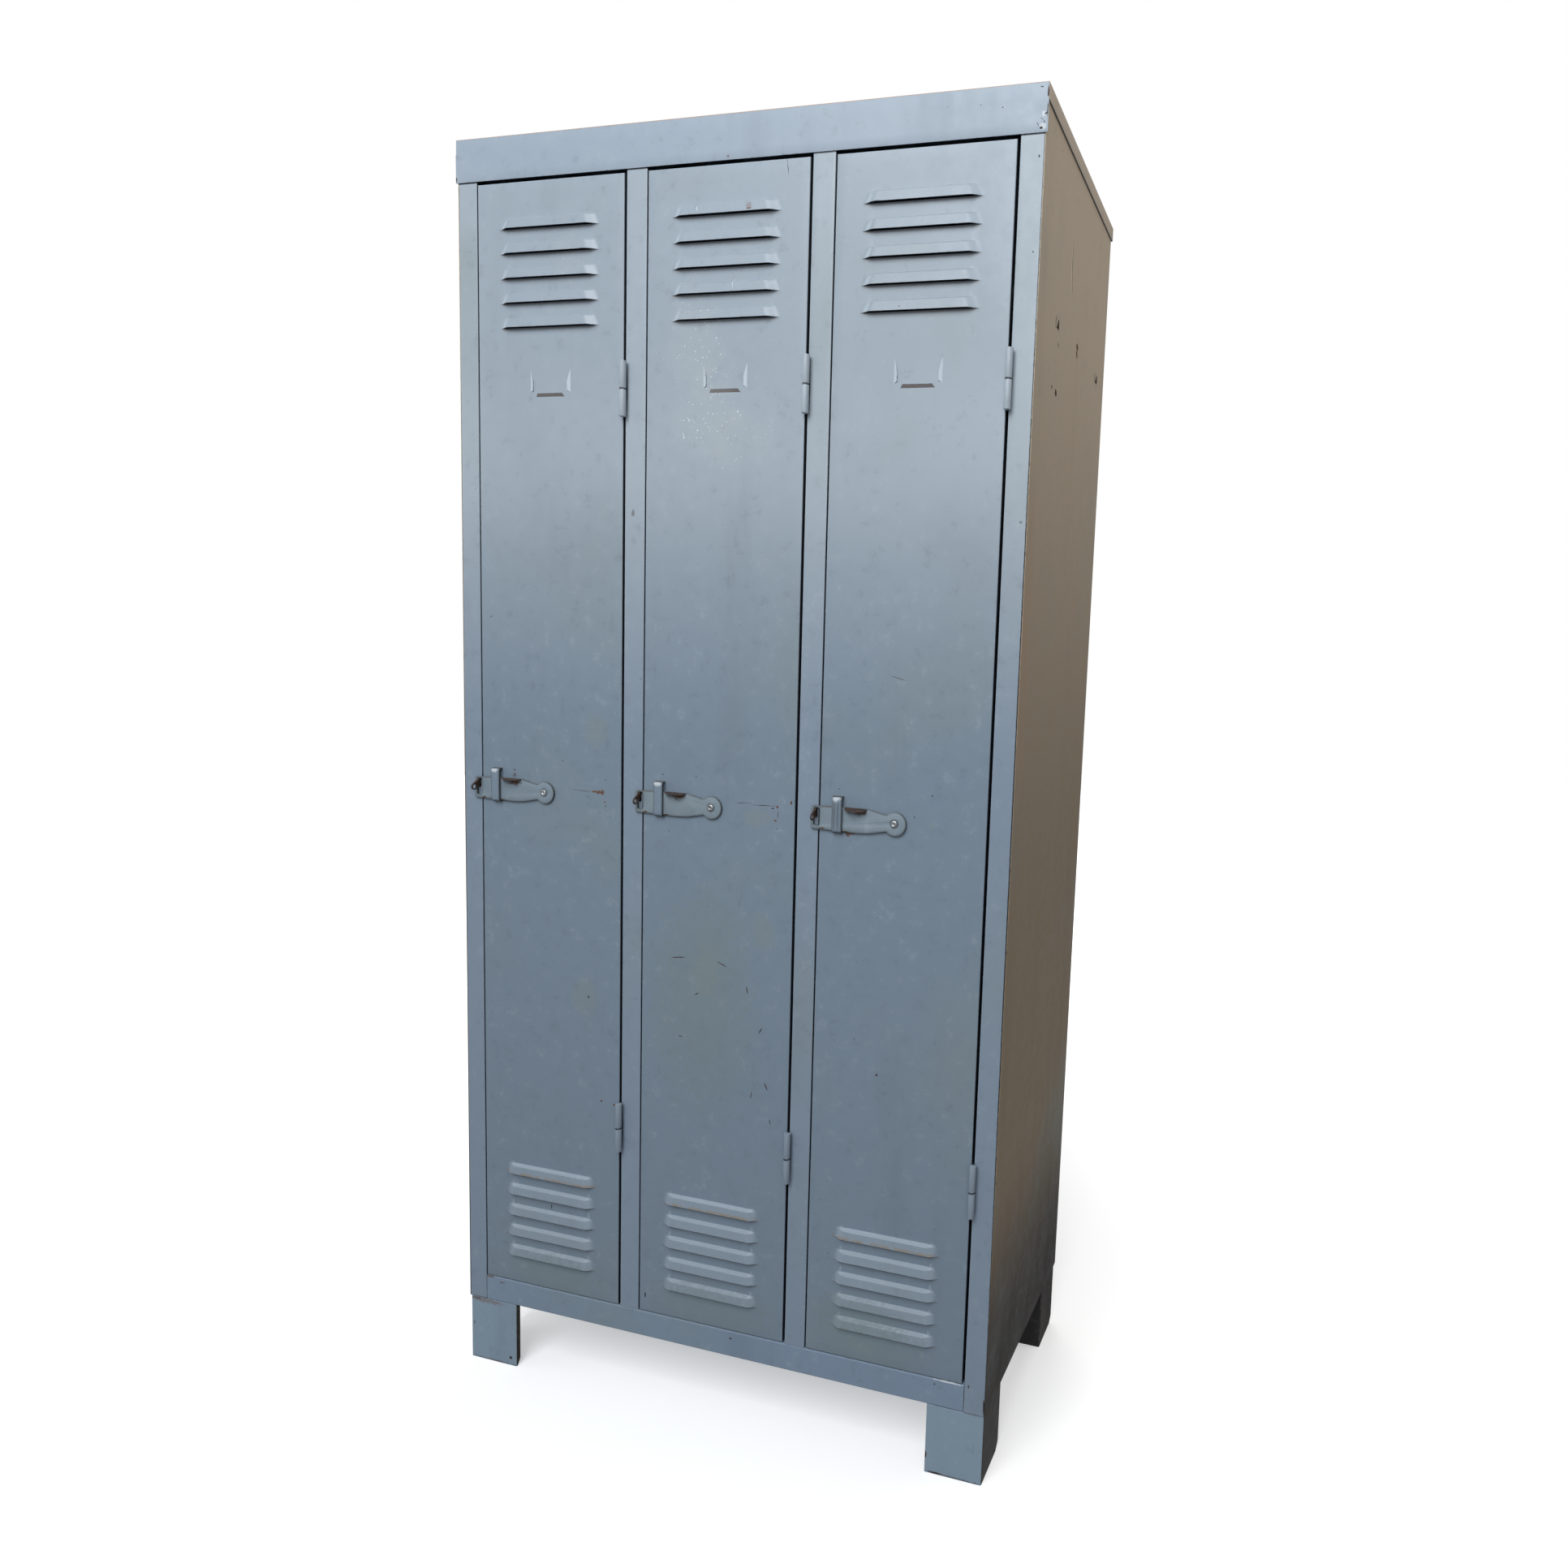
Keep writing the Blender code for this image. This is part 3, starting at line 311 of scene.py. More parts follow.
def paint(name, seed=0.0, marks=(), top=PAINT_TOP, low=PAINT_LOW, worn=1.0, dusty=(), axis='Y',
          shaded_sides=False, gap_shade=False, rimmed=False, sunk=False, louvred=None, gloss=0.5):
    """Satin paint over steel, from the colour low near the floor to the colour top: the lighter top is partly
    faded paint and partly painted light.

    marks are (kind, x, z, half width, half height, turn, ragged), with the place in
    metres, the size in millimetres and the turn in degrees. On the side panels, whose
    axis is X, they have the depth behind the front in place of x. dusty zones are
    (centre, reach, strength). shaded_sides gives the sideways faces the painted side
    shade, gap_shade paints shadow on the walls of the gaps round the doors, rimmed
    darkens the cut edges of a plate with dirt and painted shade, sunk paints shadow on
    what lies in the gap beside a hinge, and louvred is the x range of a door's louvres.
    """
    on_side = axis == 'X'
    tints = SIDE_TINTS if on_side else TINTS
    s = Surface(name)
    broad = s.cloud(2.6, 4, 0.55, seed)
    streak = s.cloud(9, 4, 0.6, seed + 3, (1, 1, 0.16))
    mottle = s.cloud(60, 4, 0.65, seed + 5)
    grain = s.cloud(700, 2, 0.5, seed)
    # Lighter towards the top: partly faded paint, partly painted light
    s.colour = s.mix(s.gradient(0.95, 1.42), low, top)
    # A paler band between 1.22 and 1.54 m high
    pale_band = s.times(s.gradient(1.22, 1.38), s.gradient(1.54, 1.42))
    s.coat(PAINT_PALE, pale_band, 0.20)
    if on_side:
        # Painted shade: the outer face of a side panel takes the sideways colours; its inner face keeps the
        # front paint
        outward = s.times(s.lean(RIGHTWARD), s.along(RIGHTWARD))
        s.coat(side_shade_colour(s), s.ramp(outward, -0.30, -0.10))
    # Painted shade: faces turned sideways take the sideways colours
    if shaded_sides:
        s.coat(side_shade_colour(s), s.ramp(s.facing(RIGHTWARD), 0.5, 0.8))
    else:
        s.coat(PAINT_GREEN, s.ramp(broad, 0.48, 0.75), 0.40)
    s.coat(PAINT_DARK, s.ramp(streak, 0.52, 0.78), 0.06 if on_side else 0.16)
    worn_pale = SIDE_PALE if on_side else PAINT_PALE
    s.coat(worn_pale, s.ramp(mottle, 0.55, 0.8), 0.10 if on_side else 0.20)
    s.coat(PAINT_DARK, s.ramp(mottle, 0.45, 0.25), 0.16)
    if louvred:
        louvre_bands(s, louvred, seed)
        louvre_highlights_and_shadow(s, louvred)
    for centre, reach, strength in dusty:
        zone = s.patch(centre, reach, 0, 0.7, 30)
        s.coat(DUST, zone, 0.16 * strength)
        dots = s.most(s.specks(150, 0.0014, 0.6, seed + 1), s.specks(290, 0.0009, 0.7, seed + 2))
        s.coat(DUST_DOT, dots, zone, 0.95 * strength)

    lower = s.gradient(1.1, 0.3)
    chance = s.add(0.50, s.times(lower, 0.5))
    tiny = s.times(s.specks(70, 0.0011, 0.20 * worn, seed + 7), chance)
    dark_dots = s.times(s.specks(24, 0.0022, 0.16 * worn, seed + 9), chance)
    nicks = s.times(s.specks(55, 0.0016, 0.20 * worn, seed + 19, (1, 1, 0.3)), lower, 0.9)
    pale_dots = s.specks(42, 0.0013, 0.09, seed + 11)
    if on_side:
        pale_dots = s.times(pale_dots, s.gradient(0.3, 0.8))
    s.coat(PAINT_PALE, pale_dots, 0.5)
    s.coat(CHIP, nicks)
    s.coat(CHIP, tiny, 0.8)
    halo = s.specks(24, 0.0040, 0.16 * worn, seed + 9)
    s.coat(RUST_ORANGE, halo, chance, 0.14)

    rim = s.edges(0.0016)
    wear_and_highlight = s.times(rim, s.ramp(s.cloud(120, 4, 0.7, seed + 13), 0.42, 0.62))
    bare = s.times(rim, s.ramp(s.cloud(85, 4, 0.7, seed + 17), 0.60, 0.68))
    s.coat(RUST_BROWN if on_side else PAINT_PALE, wear_and_highlight, 0.45)
    chips = s.most(dark_dots, bare)
    rust = None
    scored = None
    for kind, across, up, half_width, half_height, *shape in marks:
        centre = (0, FRONT + across, up) if on_side else (across, 0, up)
        mask = s.patch(centre, (half_width / 1000, half_height / 1000), *shape, axis=axis)
        if shaded_sides:
            mask = s.times(mask, s.ramp(s.facing(BACKWARD), 0.3, 0.6))
        if kind == "rust":
            s.coat(RUST_ORANGE, mask, 0.85)
            core = s.times(mask, s.ramp(s.cloud(420, 3, 0.6, seed), 0.42, 0.56))
            rust = core if rust is None else s.most(rust, core)
        elif kind in tints:
            share, tint = tints[kind]
            s.coat(tint, mask, share)
        else:
            scored = mask if scored is None else s.most(scored, mask)
    if scored is not None:
        chips = s.most(chips, scored)
    s.coat(s.mix(s.ramp(grain, 0.4, 0.6), CHIP, RUST_BROWN), chips)
    if rust is not None:
        s.coat(RUST_BROWN, rust)
        chips = s.most(chips, rust)

    # Dirt and painted shade: a plate's edges go dark, partly standing in for the shade along its outline on
    # the door
    if rimmed:
        border = s.most(s.ramp(s.facing(BACKWARD), 0.90, 0.55), s.times(s.edges(0.0042), 0.90))
        s.coat(EDGE_DIRT_AND_SHADE, border, 0.88)
    # Painted shadow: the hinge leaves lying in the gap, less than about 2 mm in front of the front plane, go
    # near black like the shaded gap
    if sunk:
        deep = s.ramp(s.along(BACKWARD), FRONT - 0.0036, FRONT - 0.0018, 0.0, 0.95)
        s.coat(SEAM_AND_SHADOW_BLACK, deep)
    # Painted shadow: walls of the gaps round the doors, deeper than the front, go near black for the shade
    # inside the gaps
    if gap_shade:
        walls = s.ramp(s.facing(BACKWARD), 0.8, 0.3)
        deep = s.ramp(s.along(BACKWARD), FRONT + 0.0006, FRONT + 0.0020)
        s.coat(SEAM_AND_SHADOW_BLACK, walls, deep, 0.94)

    rough = s.add(0.36, s.times(s.ramp(mottle, 0.3, 0.8), 0.16), s.times(s.ramp(streak, 0.4, 0.8), 0.12))
    rough = s.add(rough, s.times(chips, 0.35))
    height = s.add(s.times(grain, 0.35), s.times(mottle, 0.5), s.times(chips, -1.0))
    s.feed(s.shader.inputs["Specular IOR Level"], gloss)
    return s.finish(rough, height, 0.00025, strength=0.45)


def louvre_highlights_and_shadow(s, louvred):
    """Painted highlights on the louvres and card flaps where they face the light, and painted shadow under
    the lowest flap.
    """
    left, right = louvred
    up = s.along(UPWARD)
    across = s.along(RIGHTWARD)
    within = s.between(across, left, right, 0.004)
    off_ends = s.between(across, left + 0.012, right - 0.012, 0.008)
    on_upper = s.ramp(up, 1.52, 1.54)
    on_lower = s.ramp(up, 0.50, 0.45)
    downward = s.lean((0, 0, -1))
    # Painted highlight: the upward faces of the low louvres, the sideways card flaps and the ends of the
    # upper louvres go paler
    topside = s.times(s.ramp(downward, -0.30, -0.85), on_lower, 0.32)
    face = s.times(s.ramp(downward, -0.04, -0.09), on_lower, off_ends, 0.15)
    beside_card = s.between(up, CARD_Z - 0.018, CARD_Z + 0.018, 0.004)
    flaps = s.times(s.ramp(s.facing(RIGHTWARD), 0.22, 0.30), beside_card, 0.55)
    left_end = s.times(s.ramp(s.lean((-1, 0, 0)), 0.25, 0.60), on_upper, 0.65)
    right_end = s.times(s.ramp(s.lean(RIGHTWARD), 0.10, 0.50), on_upper, 0.12)
    wear_and_highlight = s.most(s.most(topside, face), flaps, s.most(left_end, right_end))
    s.coat(LOUVRE_HIGHLIGHT, wear_and_highlight, within)
    # Painted shadow on the downward face of the lowest card flap
    below_card = s.ramp(up, CARD_FOOT_UNDERSIDE, CARD_FOOT_UNDERSIDE - 0.0006)
    s.coat(FLAP_SHADOW, s.ramp(downward, 0.22, 0.30), below_card)


def louvre_bands(s, louvred, seed):
    """A darker brown band just under every louvre, and rust along the lips of the topmost of the low ones."""
    left, right = louvred
    within = s.between(s.along(RIGHTWARD), left + 0.006, right - 0.006, 0.008)
    up = s.along(UPWARD)
    ragged = s.times(s.cloud(130, 4, 0.65, seed), 0.004)
    for top_row, strength in ((LOUVRE_TOP_ROW, 0.42), (LOUVRE_LOW_ROW, 0.30)):
        bottom_row = top_row - (LOUVRES - 1) * LOUVRE_PITCH
        above = s.ramp(up, bottom_row - 0.010, bottom_row - 0.008)
        below = s.ramp(up, top_row + 0.001, top_row)
        step = s.math('FLOORED_MODULO', s.math('SUBTRACT', top_row, up), LOUVRE_PITCH)
        brown_band = s.ramp(s.add(step, ragged), 0.0085, 0.0015)
        s.coat(LOUVRE_BROWN, brown_band, within, above, below, strength)
    lip = s.times(s.ramp(up, LOUVRE_LOW_ROW - 0.002, LOUVRE_LOW_ROW),
                  s.ramp(up, LOUVRE_LOW_ROW + 0.0055, LOUVRE_LOW_ROW + 0.001))
    worn = s.times(lip, within, s.ramp(s.cloud(45, 4, 0.7, seed + 2), 0.38, 0.54))
    s.coat(LIP_RUST, worn, 0.9)


def bright_steel(name):
    """Bare turned steel, dulled and finely scratched."""
    s = Surface(name)
    scratch = s.cloud(300, 4, 0.6, 0, (1, 1, 8))
    blotch = s.cloud(160, 4, 0.6, 4)
    s.colour = s.mix(s.ramp(blotch, 0.4, 0.75), (0.62, 0.63, 0.64), (0.24, 0.235, 0.23))
    rough = s.add(0.22, s.times(blotch, 0.3), s.times(scratch, 0.12))
    return s.finish(rough, s.add(scratch, blotch), 0.0001, metallic=0.95)


def rusty_steel(name):
    """Bare plate gone dark brown, with pitted orange rust."""
    s = Surface(name)
    blotch = s.cloud(220, 5, 0.65)
    pits = s.cloud(900, 3, 0.6, 2)
    s.colour = s.mix(s.ramp(blotch, 0.40, 0.62), (0.044, 0.038, 0.037), (0.092, 0.046, 0.030))
    s.coat((0.42, 0.40, 0.37), s.edges(0.0009), s.ramp(pits, 0.35, 0.6), 0.75)
    rough = s.add(0.48, s.times(blotch, 0.35))
    return s.finish(rough, s.add(blotch, pits), 0.0003, metallic=0.45)


# -------------------------------------------------------------- mesh helpers

def settle(name, bm, body, material, replaced, thickness=0.0, fold=0.0, rim=0.0, crease=35):
    """Make a piece from a bmesh in the row frame, fold and thicken it, and set it on its body."""
    piece = as_object(name, bm)
    if fold:
        round_edges(piece, fold, FOLD_STEPS)
    if thickness:
        solid = piece.modifiers.new("sheet", 'SOLIDIFY')
        solid.thickness = thickness
        solid.offset = -1.0
        solid.use_even_offset = True
    if rim:
        round_edges(piece, rim, 2)
    bake_shape(piece)
    piece.data.shade_smooth()
    piece.data.set_sharp_from_angle(angle=math.radians(crease))
    piece.data.materials.clear()
    piece.data.materials.append(material)
    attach(piece, body)
    if replaced:
        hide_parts(*replaced)
    return piece


def as_object(name, bm):
    """A new object in the scene whose mesh is a bmesh, which it frees."""
    mesh = bpy.data.meshes.new(name)
    bm.to_mesh(mesh)
    bm.free()
    item = bpy.data.objects.new(name, mesh)
    bpy.context.scene.collection.objects.link(item)
    return item


def round_edges(piece, width, segments):
    bevel = piece.modifiers.new("rounding", 'BEVEL')
    bevel.width = width
    bevel.segments = segments
    bevel.limit_method = 'ANGLE'
    bevel.angle_limit = math.radians(40)


def bake_shape(piece):
    """Turn a piece's modifiers into plain mesh."""
    graph = bpy.context.evaluated_depsgraph_get()
    mesh = bpy.data.meshes.new_from_object(piece.evaluated_get(graph))
    piece.modifiers.clear()
    piece.data = mesh


def steps(start, end, spacing):
    """Evenly spaced values from start to end, about spacing apart."""
    count = max(1, round((end - start) / spacing))
    return [start + (end - start) * index / count for index in range(count + 1)]


def merged(*lists):
    """Sorted values of several lists, without near repeats."""
    kept = []
    for value in sorted(value for values in lists for value in values):
        if not kept or value - kept[-1] > 4 * SAME:
            kept.append(value)
    return kept


def thinned(values, wanted):
    """Drop plain grid lines that crowd a wanted line."""
    kept = []
    for value in values:
        gap = min(abs(value - line) for line in wanted)
        if gap < SAME or gap > 0.003:
            kept.append(value)
    return kept


def near(first, second):
    return abs(first - second) < SAME


def ripple(x, z, seed):
    """The shallow waves of a big sheet, in metres."""
    slow = noise.noise(Vector((x * 5.0, z * 3.2, seed)))
    quick = noise.noise(Vector((x * 14.0, z * 11.0, seed + 9.0)))
    return 0.0007 * slow + 0.00018 * quick


def dented(x, z, dents):
    """Depth of a sheet's dents, each (x, z, half width, half height, turn, depth)."""
    total = 0.0
    for across, up, half_width, half_height, turn, depth in dents:
        angle = math.radians(turn)
        u = (x - across) * math.cos(angle) + (z - up) * math.sin(angle)
        v = (z - up) * math.cos(angle) - (x - across) * math.sin(angle)
        total += depth * math.exp(-(u / half_width) ** 2 - (v / half_height) ** 2)
    return total


def eased(share):
    return share * share * (3 - 2 * share)


def fade(value, low, high, margin):
    """0 at low and high, 1 further than margin from both."""
    return eased(max(0.0, min(value - low, high - value, margin)) / margin)


def rounded_path(points, radius):
    """A polyline whose corners are arcs."""
    path = [Vector(points[0])]
    for before, corner, after in zip(points, points[1:], points[2:]):
        corner = Vector(corner)
        back = (Vector(before) - corner).normalized()
        ahead = (Vector(after) - corner).normalized()
        centre = corner + (back + ahead) * radius
        for step in range(FOLD_STEPS + 1):
            turn = math.pi / 2 * step / FOLD_STEPS
            path.append(centre - ahead * radius * math.cos(turn) - back * radius * math.sin(turn))
    path.append(Vector(points[-1]))
    return path


def folded_sheet(path, heights, shape, skip):
    """Sweep a path (x, y) up through heights; shape moves a vertex and skip leaves a cell out."""
    bm = bmesh.new()
    rows = []
    for z in heights:
        rows.append([bm.verts.new(Vector((p.x, p.y, z)) + shape(p.x, p.y, z)) for p in path])
    for low, high, z in zip(rows, rows[1:], heights):
        for index in range(len(path) - 1):
            if skip(path[index], path[index + 1], z):
                continue
            bm.faces.new((low[index], low[index + 1], high[index + 1], high[index]))
    loose = [vert for vert in bm.verts if not vert.link_faces]
    bmesh.ops.delete(bm, geom=loose, context='VERTS')
    return bm


def slice_grid(bm, axis, values):
    """Cut all faces by planes across an axis."""
    normal = Vector((0, 0, 0))
    normal[axis] = 1.0
    for value in values:
        geometry = bm.verts[:] + bm.edges[:] + bm.faces[:]
        bmesh.ops.bisect_plane(bm, geom=geometry, plane_co=normal * value, plane_no=normal, dist=1e-6)


def outline_solid(outlines, place, along):
    """Extrude an outline with holes; place turns a pair into a point."""
    bm = bmesh.new()
    for outline in outlines:
        ring = [bm.verts.new(place(*pair)) for pair in outline]
        for first, second in zip(ring, ring[1:] + ring[:1]):
            bm.edges.new((first, second))
    bmesh.ops.triangle_fill(bm, edges=bm.edges, use_beauty=True)
    grown = bmesh.ops.extrude_face_region(bm, geom=bm.faces[:])
    moved = [part for part in grown["geom"] if isinstance(part, bmesh.types.BMVert)]
    bmesh.ops.translate(bm, vec=along, verts=moved)
    join_flats(bm)
    return bm


def join_flats(bm):
    """Turn the faces outward and join the triangles of each flat face."""
    bmesh.ops.recalc_face_normals(bm, faces=bm.faces)
    bmesh.ops.dissolve_limit(bm, angle_limit=0.01, verts=bm.verts, edges=bm.edges)


def turned(profile, centre, axis, segments):
    """Spin (radius, distance along the axis) pairs into a closed solid."""
    axis = Vector(axis)
    side = axis.orthogonal().normalized()
    turns = [Matrix.Rotation(2 * math.pi * step / segments, 3, axis) for step in range(segments)]
    bm = bmesh.new()
    rings = []
    for radius, along in profile:
        middle = Vector(centre) + axis * along
        if radius == 0:
            rings.append([bm.verts.new(middle)])
        else:
            rings.append([bm.verts.new(middle + turn @ side * radius) for turn in turns])
    for ring, following in zip(rings, rings[1:]):
        for step in range(segments):
            after = (step + 1) % segments
            corners = [ring[step % len(ring)], ring[after % len(ring)],
                       following[after % len(following)], following[step % len(following)]]
            bm.faces.new(list(dict.fromkeys(corners)))
    bmesh.ops.recalc_face_normals(bm, faces=bm.faces)
    return bm


def arc(centre, radius, start, end, count):
    """Points on an arc; the angles are in degrees."""
    angles = [math.radians(start + (end - start) * step / count) for step in range(count + 1)]
    return [(centre[0] + radius * math.cos(a), centre[1] + radius * math.sin(a)) for a in angles]


def circle(centre, radius):
    """24 points round a circle."""
    return arc(centre, radius, 0, 345, 23)


# --------------------------------------------------------------------- doors

def opening_left(locker):
    """X of the left edge of a door opening, which is the right edge of a post."""
    node = "left_post" if locker == 1 else f"mullion_{locker - 1}"
    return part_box(node)[1].x


def opening_right(locker):
    node = "right_post" if locker == 3 else f"mullion_{locker}"
    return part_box(node)[0].x


def hood_height(below_top, from_end):
    """How far a louvre stands out, from distances below its top and in from its nearer end."""
    share = min(1.0, max(0.0, below_top / LOUVRE_SHOULDER))
    slope = max(0.0, below_top - LOUVRE_SHOULDER) / (LOUVRE_HEIGHT - LOUVRE_SHOULDER)
    rise = LOUVRE_SHOULDER_SHARE * eased(share) + (1 - LOUVRE_SHOULDER_SHARE) * slope
    inset = LOUVRE_SLANT * (1 - below_top / LOUVRE_HEIGHT)
    inward = min(1.0, max(0.0, (from_end - inset) / LOUVRE_END))
    return LOUVRE_REACH * rise * eased(inward)


def hood_ends(locker):
    """X of the left and right ends of a door's louvres."""
    middle = (opening_left(locker) + opening_right(locker)) / 2 + LOUVRE_OFFSET
    return middle - LOUVRE_WIDTH / 2, middle + LOUVRE_WIDTH / 2


def louvre_levels():
    """Heights of the lower edges of a door's louvres."""
    rows = (LOUVRE_LOW_ROW, LOUVRE_TOP_ROW)
    return sorted(row - step * LOUVRE_PITCH for row in rows for step in range(LOUVRES))


def door_sheet(locker):
    """One pressed sheet: louvres free along their lower edges, three lanced card flaps, folded rim."""
    low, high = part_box(f"door_{locker}")
    left, right = low.x, high.x
    bottom, top = low.z, high.z
    middle = (opening_left(locker) + opening_right(locker)) / 2
    hood_left, hood_right = hood_ends(locker)
    levels = louvre_levels()

    flap_outer = CARD_HALF_WIDTH
    flap_inner = CARD_HALF_WIDTH - CARD_FLAP_WIDTH
    flap_low = CARD_Z - CARD_FLAP_HEIGHT / 2
    flap_high = CARD_Z + CARD_FLAP_HEIGHT / 2
    foot_root = CARD_Z - CARD_FOOT_DROP
    foot_half = CARD_FOOT_WIDTH / 2
    flap_xs = [middle + side * value for side in (-1, 1)
               for value in (flap_outer, flap_inner, foot_half, foot_half - CARD_FLAP_SPLAY)]
    flap_zs = [flap_low, flap_low + CARD_FLAP_SPLAY, flap_high - CARD_FLAP_SPLAY, flap_high,
               foot_root, foot_root + CARD_FLAP_WIDTH]
    end = LOUVRE_END + LOUVRE_SLANT
    hood_xs = [hood_left + end * step / HOOD_END_STEPS for step in range(HOOD_END_STEPS + 1)]
    hood_xs += [hood_right - end * step / HOOD_END_STEPS for step in range(HOOD_END_STEPS + 1)]
    xs = merged(steps(left + FOLD, right - FOLD, 0.012), flap_xs, hood_xs)
    hood_zs = [level + LOUVRE_HEIGHT * share for level in levels for share in HOOD_ROWS]
    zs = merged(steps(bottom + FOLD, top - FOLD, 0.014), flap_zs, hood_zs)
    xs = thinned(xs, flap_xs + hood_xs + [left + FOLD, right - FOLD])
    zs = thinned(zs, flap_zs + hood_zs + [bottom + FOLD, top - FOLD])
    dents = [(opening_left(locker) + across, *dent) for across, *dent in DOOR_DENTS[locker]]

    def hood(x, z):
        for level in levels:
            if level - SAME <= z <= level + LOUVRE_HEIGHT and hood_left < x < hood_right:
                return hood_height(level + LOUVRE_HEIGHT - z, min(x - hood_left, hood_right - x))
        return 0.0

    def surface(x, z, rise=0.0):
        calm = fade(x, left, right, 0.05) * fade(z, bottom, top, 0.06)
        return Vector((x, FRONT - rise + calm * ripple(x, z, locker * 3.7) + dented(x, z, dents), z))

    # Along a louvre's lower edge each place has two vertices: the row below it and its own lip.
    bm = bmesh.new()
    upper = []
    lower = []
    for z in zs:
        is_lip = any(near(z, level) for level in levels)
        row = [bm.verts.new(surface(x, z, 0.0 if is_lip else hood(x, z))) for x in xs]
        lower.append(row)
        if is_lip:
            row = list(row)
            for index, x in enumerate(xs):
                if hood_left + SAME < x < hood_right - SAME:
                    row[index] = bm.verts.new(surface(x, z, hood(x, z)))
        upper.append(row)

    free = {}

    def lifted(i, j):
        if (i, j) not in free:
            free[i, j] = bm.verts.new(surface(xs[i], zs[j], CARD_FLAP_RISE))
        return free[i, j]

    def flap_root(i, j):
        """For a cell of an upright flap the side it hangs on, 0 for its left and 1 for its right."""
        if flap_low - SAME < zs[j] and zs[j + 1] < flap_high + SAME:
            if near(xs[i], middle - flap_outer) and near(xs[i + 1], middle - flap_inner):
                return 0
            if near(xs[i], middle + flap_inner) and near(xs[i + 1], middle + flap_outer):
                return 1
        return None

    def upright_cell(corners, i, j, root):
        """Lift a cell's free side, down to the sheet at the ends of its flap."""
        out = 1 - root
        if near(zs[j], flap_low):
            away, toward = 0, 1
        elif near(zs[j + 1], flap_high):
            away, toward = 1, 0
        else:
            free_side = (lifted(i + out, j), lifted(i + out, j + 1))
            bm.faces.new((corners[root, 0], *free_side, corners[root, 1]))
            return
        bm.faces.new((corners[root, away], corners[out, away], corners[out, toward]))
        bm.faces.new((corners[root, away], lifted(i + out, j + toward), corners[root, toward]))

    def foot_cell(corners, i, j):
        """Lift a cell's upper side, down to the sheet at the ends of the lowest flap."""
        if near(xs[i], middle - foot_half):
            bm.faces.new((corners[0, 0], corners[1, 1], corners[0, 1]))
            bm.faces.new((corners[0, 0], corners[1, 0], lifted(i + 1, j + 1)))
        elif near(xs[i + 1], middle + foot_half):
            bm.faces.new((corners[1, 0], corners[1, 1], corners[0, 1]))
            bm.faces.new((corners[0, 0], corners[1, 0], lifted(i, j + 1)))
        else:
            bm.faces.new((corners[0, 0], corners[1, 0], lifted(i + 1, j + 1), lifted(i, j + 1)))

    for j in range(len(zs) - 1):
        for i in range(len(xs) - 1):
            corners = {(0, 0): upper[j][i], (1, 0): upper[j][i + 1],
                       (1, 1): lower[j + 1][i + 1], (0, 1): lower[j + 1][i]}
            root = flap_root(i, j)
            over_foot = middle - foot_half - SAME < xs[i] and xs[i + 1] < middle + foot_half + SAME
            if root is not None:
                upright_cell(corners, i, j, root)
            elif near(zs[j], foot_root) and over_foot:
                foot_cell(corners, i, j)
            else:
                bm.faces.new((corners[0, 0], corners[1, 0], corners[1, 1], corners[0, 1]))

    for face in bm.faces:
        face.normal_update()
        if face.normal.y > 0:
            face.normal_flip()

    rim = list(lower[0])
    rim += [row[-1] for row in lower[1:]]
    rim += lower[-1][-2::-1]
    rim += [row[0] for row in lower[-2:0:-1]]
    fold_rim(bm, rim, low, high)
    return bm


def fold_rim(bm, rim, low, high):
    """Fold a door's sheet back from its rim and inward behind, as a lip; low and high are its box."""
    rings = [rim]
    folds = [math.pi / 2 * step / FOLD_STEPS for step in range(1, FOLD_STEPS + 1)]
    profile = [(FOLD * math.sin(a), FOLD * (1 - math.cos(a))) for a in folds]
    depth = high.y - FRONT
    profile += [(FOLD, depth * 0.5)]
    profile += [(FOLD * math.cos(a), depth - FOLD * (1 - math.sin(a))) for a in [0.0] + folds]
    profile += [(FOLD - DOOR_LIP, depth)]
    for outward, behind in profile:
        ring = []
        for vert in rim:
            x = edge_move(vert.co.x, low.x + FOLD, high.x - FOLD, outward)
            z = edge_move(vert.co.z, low.z + FOLD, high.z - FOLD, outward)
            ring.append(bm.verts.new((x, FRONT + behind, z)))
        rings.append(ring)
    for near_ring, far_ring in zip(rings, rings[1:]):
        for index in range(len(rim)):
            after = (index + 1) % len(rim)
            bm.faces.new((near_ring[after], near_ring[index], far_ring[index], far_ring[after]))
    bmesh.ops.remove_doubles(bm, verts=rings[-1], dist=1e-6)
    bmesh.ops.dissolve_degenerate(bm, dist=1e-7, edges=bm.edges)


def edge_move(value, low, high, outward):
    """Move a rim coordinate outward at the rim's ends, and clamp it when moving inward."""
    if outward >= 0:
        if value < low + SAME:
            return low - outward
        if value > high - SAME:
            return high + outward
        return value
    return min(max(value, low - outward), high + outward)


# ---------------------------------------------------------------- other parts

CHANNEL_FOLD = 0.0009

